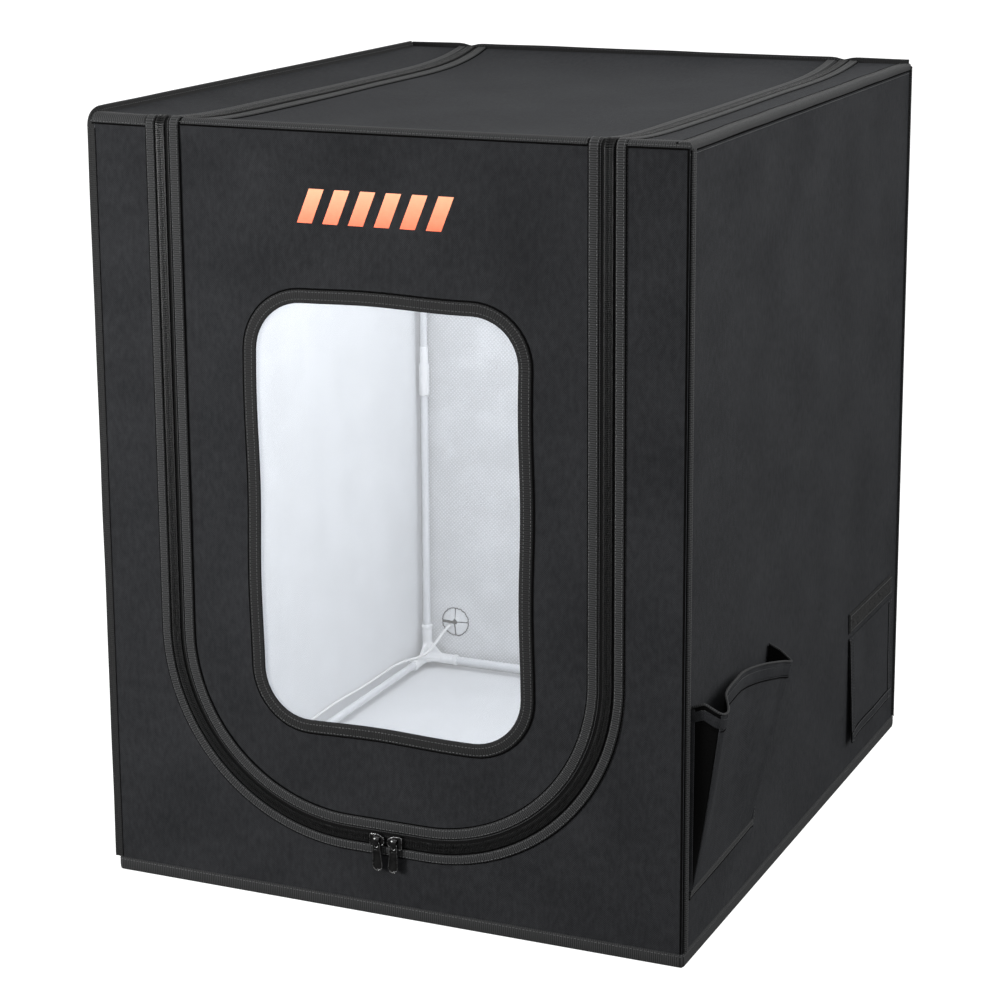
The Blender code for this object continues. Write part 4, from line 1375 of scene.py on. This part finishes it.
def build_sliders():
    right, up, out = (1, 0, 0), (0, 0, 1), (0, -1, 0)
    for side, sx in (("left", -1), ("right", 1)):
        box_low, box_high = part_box(f"zip_slider_{side}")
        x = (box_low.x + box_high.x) / 2
        back = FRONT - 0.0033
        body = Shape()
        outline = slider_outline(sx)
        add_slab(body, [outline], 0.0019, (x, back, ZIP_LOW), right, up, out)
        loop_tube(body, inset(outline, 0.0004), (x, back, ZIP_LOW), right, up, out, 0.00040, 0.0017, 1)
        for sz in (-1, 1):
            wall = [
                (x - sx * t, back + 0.0010, ZIP_LOW + sz * (0.0057 - 0.0010 * (t > 0.001)))
                for t in np.linspace(-0.0050, 0.0030, 7)
            ]
            sweep(body, Track(wall, out), round_section(0.00042, 8, flat=2.4))
        arch = []
        for k in range(17):
            turn = math.pi * k / 16
            stand = 0.0014 + 0.0030 * math.sin(turn) ** 0.7
            arch.append((x, back - stand, ZIP_LOW + 0.0040 * math.cos(turn)))
        bridge = Track(arch, [(0, y[1] - back, y[2] - ZIP_LOW) for y in arch])
        sweep(body, bridge, [(a * 2.9, b * 0.8) for a, b in round_section(0.0010, 12)])
        place(body.object(f"slider_body_{side}", [ENAMEL_LOOK, EDGE_LOOK], sharp=70), f"zip_slider_{side}",
              "black_metal", f"zip_slider_{side}")

        pull_low, pull_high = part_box(f"pull_tab_{side}")
        bar_y = (pull_low.y + pull_high.y) / 2
        lean = math.radians(3.0) * (-sx)
        across = (math.cos(lean), 0, math.sin(lean))
        along = (-math.sin(lean), 0, math.cos(lean))
        thick = 0.0011
        origin = np.array((x, bar_y + thick / 2, ZIP_LOW - 0.0034))
        tab = Shape()
        outline = pull_outline()
        eye = rounded((0, -0.0006), 0.0030, 0.0034, 0.0014, 5)
        add_slab(tab, [outline, eye[::-1]], thick * 0.8, origin, across, along, out)
        loop_tube(tab, inset(outline, 0.00035), origin, across, along, out, 0.00042, thick * 0.78, 1)
        loop_tube(tab, inset(eye, -0.00050), origin, across, along, out, 0.00042, thick * 0.78, 1)
        groove = inset(outline, 0.0015)
        groove = [(px, min(py, -0.0052)) for px, py in groove]
        loop_tube(tab, fine(np.array(groove), 0.0012), origin, across, along, out, 0.00022, thick * 0.8)
        place(tab.object(f"pull_{side}", [ENAMEL_LOOK, EDGE_LOOK], sharp=70), f"pull_tab_{side}",
              "black_metal", f"pull_tab_{side}")


# ---------------------------------------------------------------- the frame of tubes


def node_names(*starts):
    return [name for name in sorted(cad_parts) if name.startswith(starts)]


def long_axis(node):
    """(lower end, upper end, out) of a straight tube's middle line, from its box."""
    a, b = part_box(node)
    size = b - a
    axis = max(range(3), key=lambda k: size[k])
    start, end = (a + b) / 2, (a + b) / 2
    start[axis], end[axis] = a[axis], b[axis]
    out = (0, 0, 1) if axis != 2 else (1, 0, 0)
    radius = min(size[k] for k in range(3) if k != axis) / 2
    return start, end, out, radius


def build_tubes():
    for node in node_names("bottom_tube", "top_tube", "post_lower", "post_upper"):
        start, end, out, radius = long_axis(node)
        steps = np.linspace(0, 1, 24)[:, None]
        line = np.array(start) * (1 - steps) + np.array(end) * steps
        tube = sweep(Shape(), Track(line, out), round_section(radius, 28))
        place(tube.object(f"{node}_coated", TUBE_LOOK), "root", "white_tube", node)
    for node in node_names("post_coupler"):
        a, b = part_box(node)
        middle, wide = (a + b) / 2, (b.x - a.x) / 2
        step = a.z + 0.62 * (b.z - a.z)
        profile = [
            (a.z, wide - 0.0006), (a.z + 0.0003, wide - 0.0002), (a.z + 0.0010, wide),
            (step - 0.0010, wide), (step, wide - 0.0002), (step + 0.0026, wide - 0.0010),
            (step + 0.0034, wide - 0.0011), (b.z - 0.0008, wide - 0.0011),
            (b.z - 0.0002, wide - 0.0013), (b.z, wide - 0.0018),
        ]
        sleeve = Shape()
        turned(sleeve, (middle.x, middle.y), profile)
        place(sleeve.object(f"{node}_sleeve", PLASTIC_LOOK), "root", "white_plastic", node)


def turned(shape, centre, profile, sides=32):
    """A turned solid round an upright axis: profile is (height, radius), lowest first."""
    points, faces = [], []
    for z, r in profile:
        for k in range(sides):
            a = 2 * math.pi * k / sides
            points.append((centre[0] + r * math.cos(a), centre[1] + r * math.sin(a), z))
    for row in range(len(profile) - 1):
        for k in range(sides):
            n = (k + 1) % sides
            faces.append((row * sides + k, row * sides + n, (row + 1) * sides + n, (row + 1) * sides + k))
    faces.append(tuple(range(sides))[::-1])
    faces.append(tuple((len(profile) - 1) * sides + k for k in range(sides)))
    return shape.add(points, faces, [(p[0], p[2]) for p in points])


def connector_mesh(arm, hub_radius, radius):
    """A three-way corner along +X, +Y and +Z: round arms with lips, webs and a round hub."""
    cage = bmesh.new()
    turns = (Matrix.Rotation(math.pi / 2, 4, "Y"), Matrix.Rotation(-math.pi / 2, 4, "X"), Matrix())
    for turn in turns:
        for start, end, wide in ((-0.003, arm, radius), (arm - 0.004, arm, radius + 0.0007)):
            place_at = turn @ Matrix.Translation((0, 0, (start + end) / 2))
            bmesh.ops.create_cone(
                cage, cap_ends=True, segments=24, radius1=wide, radius2=wide,
                depth=end - start, matrix=place_at,
            )
    bmesh.ops.create_uvsphere(cage, u_segments=20, v_segments=14, radius=hub_radius)
    reach, half = 0.023, 0.0021
    for a, b in ((0, 1), (0, 2), (1, 2)):
        c = 3 - a - b
        corners = []
        for depth in (-half, half):
            for p, q in ((0, 0), (reach, 0), (0, reach)):
                at = [0.0, 0.0, 0.0]
                at[a], at[b], at[c] = p, q, depth
                corners.append(cage.verts.new(at))
        bmesh.ops.convex_hull(cage, input=corners)
    mesh = bpy.data.meshes.new("connector")
    cage.to_mesh(mesh)
    cage.free()
    obj = bpy.data.objects.new("connector", mesh)
    bpy.context.scene.collection.objects.link(obj)
    remesh = obj.modifiers.new("remesh", "REMESH")
    remesh.mode = "VOXEL"
    remesh.voxel_size = 0.00075
    smooth = obj.modifiers.new("smooth", "SMOOTH")
    smooth.factor, smooth.iterations = 0.5, 4
    bpy.context.view_layer.update()
    made = bpy.data.meshes.new_from_object(obj.evaluated_get(bpy.context.evaluated_depsgraph_get()))
    bpy.data.objects.remove(obj)
    return made


def build_connectors():
    radius = 0.0055
    pattern = connector_mesh(0.0378, 0.0068, radius)
    for node in node_names("corner_connector"):
        a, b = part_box(node)
        middle = (a + b) / 2
        centre, flips = [], []
        for k, inner in enumerate((0.0, 0.0, HEIGHT / 2)):
            sign = 1 if middle[k] < inner else -1
            flips.append(sign)
            centre.append((a[k] + radius + 0.0005) if sign > 0 else (b[k] - radius - 0.0005))
        mesh = pattern.copy()
        mesh.transform(Matrix.Diagonal((*flips, 1)))
        if flips[0] * flips[1] * flips[2] < 0:
            mesh.flip_normals()
        mesh.transform(Matrix.Translation(centre))
        mesh.materials.clear()
        mesh.materials.append(PLASTIC_LOOK)
        mesh.shade_smooth()
        obj = bpy.data.objects.new(f"{node}_moulding", mesh)
        bpy.context.scene.collection.objects.link(obj)
        place(obj, "root", "white_plastic", node)


# ---------------------------------------------------------------- cable port and cord


def build_port():
    """Four cloth leaves that meet in a cross, bent a little, in a ring of rough overlock stitches."""
    rng = np.random.default_rng(5)
    leaves = Shape()
    eye, edge = 0.0030, 0.0164
    for quarter, bend in enumerate((0.0030, 0.0018, 0.0042, 0.0026)):
        a0 = 90 * quarter
        first_outer, first_inner = (10, 44) if quarter == 2 else (2.2, 12)
        outline = arc((0, 0), edge, a0 + first_outer, a0 + 87.8, 14)
        outline += arc((0, 0), eye, a0 + 78, a0 + first_inner, 5)
        flat, triangles, _ = triangulate([outline], 0.0013)
        reach = np.maximum(1 - np.linalg.norm(flat, axis=1) / edge, 0)
        curl = bend * reach ** 1.4 + 0.0004 * np.sin(flat[:, 0] * 900) * reach
        first = np.column_stack([flat[triangles[0]], [0, 0, 0]])
        if np.cross(first[1] - first[0], first[2] - first[0])[2] < 0:
            triangles = triangles[:, ::-1]
        for depth, turn, slot in ((0.0003, 1, 0), (0.0013, -1, 1)):
            y = BACK - depth - curl
            points = np.column_stack([PORT.x + flat[:, 0], y, PORT.z + flat[:, 1]])
            faces = triangles[:, ::-1] if turn > 0 else triangles
            leaves.add(points, faces.tolist(), flat.tolist(), slot)
    # A near-black disc on the outer face behind the leaves: painted shade, seen through the gaps of the
    # cross.
    for quarter in range(4):
        leaf = [(0, 0)] + arc((0, 0), edge, 45 + 90 * quarter, 135 + 90 * quarter, 14)
        for depth, turn in ((-0.0001, 1), (0.0003, -1)):
            points = [(PORT.x + x, BACK - depth, PORT.z + z) for x, z in leaf]
            leaves.add(points, [tuple(range(len(leaf)))[:: -turn]], leaf, 2)
    rim = Shape()
    angles = np.linspace(0, 2 * math.pi, 72, endpoint=False)
    wander = 0.00035 * rng.standard_normal(len(angles))
    for side, depth in ((-1, CLOTH + 0.0004), (1, -0.0002)):
        points = [
            (PORT.x + (0.0161 + w) * math.cos(a), BACK - depth, PORT.z + (0.0161 + w) * math.sin(a))
            for a, w in zip(angles, wander)
        ]
        ring = Track(points, (0, side, 0), closed=True)
        sweep(rim, ring, round_section(0.0004, 8))
        overlock = bead(0.0022, 0.0005, 0.0005, sides=5)
        row = ring.spaced(0.0021)
        for k in range(len(row.p)):
            row.aside[k] = unit(row.aside[k] + 0.5 * rng.standard_normal() * row.ahead[k])
        row.ahead = np.cross(row.out, row.aside)
        scatter(rim, row, overlock, across=True)
    body = leaves.object("port_leaves", [CLOTH_LOOK, LINING_LOOK, SHADE_LOOK], sharp=180)
    place(body, "root", "black_cloth", "cable_port")
    place(rim.object("port_overlock", TEETH_LOOK), "root", "black_cloth")


CORD_R = 0.0015
CORD_ROUTE = (
    (-0.2375, 0.3208, 0.0500),
    (-0.2420, 0.3140, 0.0440),
    (-0.2470, 0.3040, 0.0340),
    (-0.2530, 0.2930, 0.0240),
    (-0.2610, 0.2800, 0.0203),
    (-0.2675, 0.2640, 0.0205),
    (-0.2705, 0.2400, 0.0210),
    (-0.2712, 0.2000, 0.0205),
    (-0.2712, 0.1750, 0.0207),
    (-0.2712, 0.1500, 0.0215),
    (-0.2712, 0.1250, 0.0227),
    (-0.2712, 0.1000, 0.0235),
    (-0.2712, 0.0750, 0.0232),
    (-0.2712, 0.0500, 0.0225),
    (-0.2712, 0.0300, 0.0217),
    (-0.2712, 0.0100, 0.0210),
)
CORD_STEP = 0.0025


def smooth_route(route, step):
    """Points about step apart on a smooth curve through the route's points."""
    points = []
    for i in range(len(route) - 1):
        before = route[max(i - 1, 0)]
        a, b = route[i], route[i + 1]
        after = route[min(i + 2, len(route) - 1)]
        count = max(1, round(math.dist(a, b) / step))
        for j in range(count):
            t = j / count
            points.append(tuple(
                0.5 * (2 * q + (r - p) * t + (2 * p - 5 * q + 4 * r - s) * t * t
                       + (3 * q - p - 3 * r + s) * t ** 3)
                for p, q, r, s in zip(before, a, b, after)
            ))
    return points + [route[-1]]


def build_cord():
    """The white cord from the port, over the corner connector and along the left wall."""
    points = smooth_route(CORD_ROUTE, CORD_STEP)
    curve = bpy.data.curves.new("white_cord", "CURVE")
    curve.dimensions = "3D"
    curve.bevel_depth = CORD_R
    curve.bevel_resolution = 4
    curve.use_fill_caps = True
    spline = curve.splines.new("POLY")
    spline.points.add(len(points) - 1)
    for point, co in zip(spline.points, points):
        point.co = (*co, 1)
    spline.use_smooth = True
    curve.materials.append(CORD_LOOK)
    cord = bpy.data.objects.new("white_cord", curve)
    bpy.context.scene.collection.objects.link(cord)
    place(cord, "root", "white_cord", "port_cord")


# ---------------------------------------------------------------- pocket and cable cover

# The pocket's mouth from the front seam round to the rear: distance behind the front face,
# stand-off from the wall, height.
POCKET_MOUTH = (
    (0.0135, 0.0014, 0.229), (0.0140, 0.0140, 0.233), (0.0170, 0.0250, 0.226),
    (0.026, 0.0270, 0.224), (0.060, 0.0170, 0.228), (0.110, 0.0120, 0.229),
    (0.160, 0.0160, 0.224), (0.195, 0.0230, 0.216), (0.211, 0.0260, 0.212),
    (0.216, 0.0140, 0.218), (0.220, 0.0014, 0.222),
)
POCKET_FOOT = ((0.0135, 0.063), (0.179, 0.068))


def pocket_columns(share):
    """The mouth and the foot of the pocket at shares of the way round it, from front to rear."""
    mouth = np.array(POCKET_MOUTH)
    at = np.linspace(0, 1, len(mouth))
    middle = np.stack([smooth_between(at, mouth[:, k], share) for k in range(3)], 1)
    along = (middle[:, 0] - mouth[0, 0]) / (mouth[-1, 0] - mouth[0, 0])
    (fy, fz), (ry, rz) = POCKET_FOOT
    foot = np.stack([fy + (ry - fy) * along, 0 * along + 0.0014, fz + (rz - fz) * along], 1)
    return middle, foot


def smooth_between(at, values, share):
    """Values on a smooth curve through (at, values), with no overshoot worth the name."""
    slopes = np.gradient(values, at)
    i = np.clip(np.searchsorted(at, share, side="right") - 1, 0, len(at) - 2)
    width = at[i + 1] - at[i]
    t = (share - at[i]) / width
    h = t * t * (3 - 2 * t)
    a, b = values[i], values[i + 1]
    lean = t * (1 - t) ** 2 * slopes[i] * width - t * t * (1 - t) * slopes[i + 1] * width
    return a + (b - a) * h + 0.8 * lean


def pocket_places(share, rise, out=0.0):
    """Points of the pocket's sheet: share from front to rear, rise from 0 at its foot to 1."""
    mouth, foot = pocket_columns(share)
    rise = np.asarray(rise)
    place_at = foot + (mouth - foot) * rise[:, None]
    belly = np.sin(np.pi * np.clip(rise, 0, 1)) * np.sin(np.pi * share)
    wave = 0.0016 * np.sin(share * 19 + 2.2) * rise ** 2 + 0.0010 * np.sin(share * 43) * rise
    stand = place_at[:, 1] + 0.0022 * belly + wave * np.sin(np.pi * share) + out
    return np.stack([HALF_W + np.maximum(stand, 0.0008 + out), FRONT + place_at[:, 0], place_at[:, 2]], 1)


def build_pocket():
    columns, rows = 90, 40
    share, rise = np.meshgrid(np.linspace(0, 1, columns + 1), np.linspace(0, 1, rows + 1))
    share, rise = share.ravel(), rise.ravel()
    middle = pocket_places(share, rise).reshape(rows + 1, columns + 1, 3)
    du = np.gradient(middle, axis=1)
    dv = np.gradient(middle, axis=0)
    normal = unit(np.cross(du, dv))
    half = 0.00045
    sides = [(middle + normal * s * half).reshape(-1, 3) for s in (1, -1)]
    uv = np.stack([share * 0.27, rise * 0.16], 1).tolist()
    wide = columns + 1
    faces = [
        (r * wide + c, r * wide + c + 1, (r + 1) * wide + c + 1, (r + 1) * wide + c)
        for r in range(rows) for c in range(columns)
    ]
    # The front fold's outer faces and the whole inner side take the near-black shade look: painted shade
    # where the pocket turns away from the light.
    gusset_in_painted_shade = [share[f[0]] < 0.215 for f in faces]
    shape = Shape().add(sides[0], faces, uv)
    shape.slots = [int(deep) for deep in gusset_in_painted_shade]
    shape.add(sides[1], [f[::-1] for f in faces], uv, 1)
    count = len(sides[0])
    rim = list(range(columns + 1)) + [r * wide + columns for r in range(1, rows + 1)]
    rim += [rows * wide + c for c in range(columns - 1, -1, -1)] + [r * wide for r in range(rows - 1, 0, -1)]
    for i, j in zip(rim, rim[1:] + rim[:1]):
        shape.faces.append([j, i, count + i, count + j])
        shape.uvs += [uv[j], uv[i], uv[i], uv[j]]
        shape.slots.append(0)
    pocket = shape.object("pocket_cloth", [CLOTH_LOOK, SHADE_LOOK], sharp=60)
    place(pocket, "root", "black_cloth", "side_pocket")

    along = np.linspace(0.002, 0.998, 140)
    sewn, hem, welt, shade = Shape(), Shape(), Shape(), Shape()
    for rise_at in (0.965, 0.915):
        stitches(sewn, pocket_line(along, rise_at, 0.0007), 0, 0)
    mouth = pocket_line(along, 0.995, 0.0)
    sweep(welt, mouth, round_section(0.0011, 8))
    sweep(hem, pocket_line(along, 0.940, 0.0006), ribbon(-0.0042, 0.0042, -0.0002, 0.0004, 0.0002))
    foot = pocket_line(np.linspace(0.03, 0.97, 90), 0.0, 0.0004)
    sweep(welt, foot, ribbon(-0.0012, 0.0048, -0.0008, 0.0009, 0.0004))
    # Near-black lines under the foot's welt and under the hem band: painted shadow.
    sweep(shade, foot.shifted(0.0056, 0.0002), round_section(0.0007, 8))
    sweep(shade, pocket_line(along, 0.898, 0.0), round_section(0.0006, 8))
    stitches(sewn, foot, 0.0030, 0.0010)
    rear = pocket_line_up(0.992, 0.0003)
    sweep(hem, rear, ribbon(-0.0030, 0.0030, -0.0006, 0.0006, 0.0004))
    stitches(sewn, rear, 0.0012, 0.0008)
    front = pocket_line_up(0.010, 0.0003)
    sweep(hem, front, ribbon(-0.0024, 0.0024, -0.0006, 0.0006, 0.0004))
    fold = pocket_line_up(0.225, 0.0004)
    sweep(hem, fold, round_section(0.0007, 8))
    sewn_on = [
        hem.object("pocket_hem", CLOTH_LOOK), welt.object("pocket_welt", TAPE_LOOK),
        shade.object("pocket_grooves", SHADE_LOOK), sewn.object("pocket_stitches", THREAD_LOOK),
    ]
    for piece in sewn_on:
        place(piece, "root", "black_cloth")
    flat, area = pocket_cut()


def pocket_cut():
    """The pocket's flat cut, a trapezium: its mouth and height, and its area."""
    steps = np.linspace(0, 1, 200)
    ends = 0 * steps

    def run(share, rise):
        points = pocket_places(share, rise)
        return float(np.linalg.norm(np.diff(points, axis=0), axis=1).sum())

    mouth, foot = run(steps, ends + 1), run(steps, ends)
    height = (run(ends, steps) + run(ends + 1, steps)) / 2
    return (mouth, height), (mouth + foot) / 2 * height


def pocket_normal(share, rise):
    step = 0.004
    a = pocket_places(np.clip(share + step, 0, 1), rise) - pocket_places(np.clip(share - step, 0, 1), rise)
    b = pocket_places(share, rise + step) - pocket_places(share, rise - step)
    return unit(np.cross(a, b))


def pocket_line(share, rise_at, out):
    rise = np.full(len(share), rise_at)
    normal = pocket_normal(share, rise)
    return Track(pocket_places(share, rise) + normal * (out + 0.0004), normal)


def pocket_line_up(share_at, out):
    rise = np.linspace(0.01, 0.985, 50)
    share = np.full(len(rise), share_at)
    normal = pocket_normal(share, rise)
    return Track(pocket_places(share, rise) + normal * (out + 0.0004), normal)


def build_cable_cover():
    """The flap over the cable opening with its hems, under a fuzzy strip."""
    y0, y1, z0, z1 = COVER_LOW.y, COVER_HIGH.y, COVER_LOW.z, COVER_HIGH.z

    def stand(a, b):
        drop = (z1 - b) / (z1 - z0)
        side = np.clip((a - y0) / (y1 - y0), 0, 1)
        curl = 0.0036 * drop ** 0.8 * (1 - side) ** 6 + 0.0012 * drop ** 2
        return 0.0004 + curl + 0.0008 * (0.5 + 0.5 * np.sin(side * 9 + drop * 3)) * drop

    def outer(a, b, far):
        return -(stand(a, b) + 0.0012)

    def back(a, b, far):
        return -stand(a, b)

    flap = cloth(
        "cover_cloth", [rectangle((y0, z0), (y1, z1))], on_right, [CLOTH_LOOK, CLOTH_LOOK],
        cell=0.004, outer=outer, back=back,
    )
    place(flap, "cable_cover", "black_cloth", "cable_cover")

    def edge_line(points):
        a, b = np.array(points).T
        return Track(on_right(a, b, -(stand(a, b) + 0.0012)), (1, 0, 0))

    hem, sewn, shade = Shape(), Shape(), Shape()
    zs = np.linspace(z1 - 0.002, z0 + 0.0002, 36)
    ys = np.linspace(y0 + 0.0002, y1 - 0.0002, 50)
    for line in (
        edge_line([(y0 + 0.0050, z) for z in zs]),
        edge_line([(y1 - 0.0050, z) for z in zs]),
        edge_line([(y, z0 + 0.0050) for y in ys]),
    ):
        sweep(hem, line, ribbon(-0.0046, 0.0046, -0.0004, 0.0005, 0.0003))
        stitches(sewn, line, 0.0036, 0.0006)
        stitches(sewn, line, -0.0036, 0.0006)
        # Near-black lines along both edges of each hem: painted shade.
        for aside in (-0.0050, 0.0050):
            sweep(shade, line.shifted(aside, 0.0001), round_section(0.0005, 6))
    hem_piece = hem.object("cover_hem", CLOTH_LOOK)
    thread = sewn.object("cover_stitches", THREAD_LOOK)
    painted_shade_lines = shade.object("cover_grooves", SHADE_LOOK)
    place(hem_piece, "cable_cover", "black_cloth")
    place(painted_shade_lines, "cable_cover", "black_cloth")
    place(thread, "cable_cover", "grosgrain")

    lo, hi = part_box("cable_cover_strip")

    def pile(a, b, far):
        tufts = 0.5 + 0.5 * ripple(a, b, 61, 0.0021)
        return -(0.0011 + 0.0012 * tufts) * soft_step(0.35 + far / 0.002)

    strip = cloth(
        "fuzzy_strip", [rectangle((lo.y, lo.z + 0.0004), (hi.y, hi.z))], on_right, [LOOP_LOOK],
        cell=0.0015, outer=pile, back=lambda a, b, far: -0.0002 + 0 * a,
    )
    place(strip, "root", "loop_strip", "cable_cover_strip")
    ring = fine(np.array(rectangle((lo.y + 0.002, lo.z + 0.0035), (hi.y - 0.002, hi.z - 0.002))), 0.004)
    sewn = Shape()
    line = Track([(HALF_W + 0.0022, y, z) for y, z in ring], (1, 0, 0), closed=True)
    stitches(sewn, line, 0, 0)
    hole = fine(np.array(rectangle(
        (OPENING_Y[0] - 0.003, OPENING_Z[0] - 0.003), (OPENING_Y[1] + 0.003, OPENING_Z[1] + 0.003)
    )), 0.004)
    line = Track([(HALF_W + 0.00015, y, z) for y, z in hole], (1, 0, 0), closed=True)
    stitches(sewn, line, 0, 0)
    place(sewn.object("opening_stitches", THREAD_LOOK), "root", "grosgrain")


# ---------------------------------------------------------------- the print


def build_print():
    """A plain row of slanted orange bars: a mark with no letters."""
    bars = Shape()
    base, tall, slant = 0.6165, 0.0295, 0.012
    start, end, count, wide = -0.077, 0.069, 6, 0.0140
    pitch = (end - start - slant - wide) / (count - 1)
    for bar in range(count):
        x0 = start + pitch * bar
        us, vs = np.meshgrid(np.linspace(0, 1, 5), np.linspace(0, 1, 8))
        us, vs = us.ravel(), vs.ravel()
        x = x0 + us * wide + vs * slant
        z = base + vs * tall
        depth = door_dents(x, z, np.full(len(x), 0.06)) - 0.00018
        points = on_front(x, z, depth)
        faces = [
            (r * 5 + c, r * 5 + c + 1, (r + 1) * 5 + c + 1, (r + 1) * 5 + c)
            for r in range(7) for c in range(4)
        ]
        bars.add(points, faces, np.stack([x, z - base], 1).tolist())
    place(bars.object("printed_bars", PRINT_LOOK), "door", "black_cloth")


# ---------------------------------------------------------------- everything

build_camera()
build_cord()
build_floor()
build_lights()
build_walls()
build_door()
build_top_tape()
build_zips()
build_left_bindings()
build_right_bindings()
build_rear_bindings()
build_bottom_tape()
build_sliders()
build_tubes()
build_connectors()
build_port()
build_pocket()
build_cable_cover()
build_print()
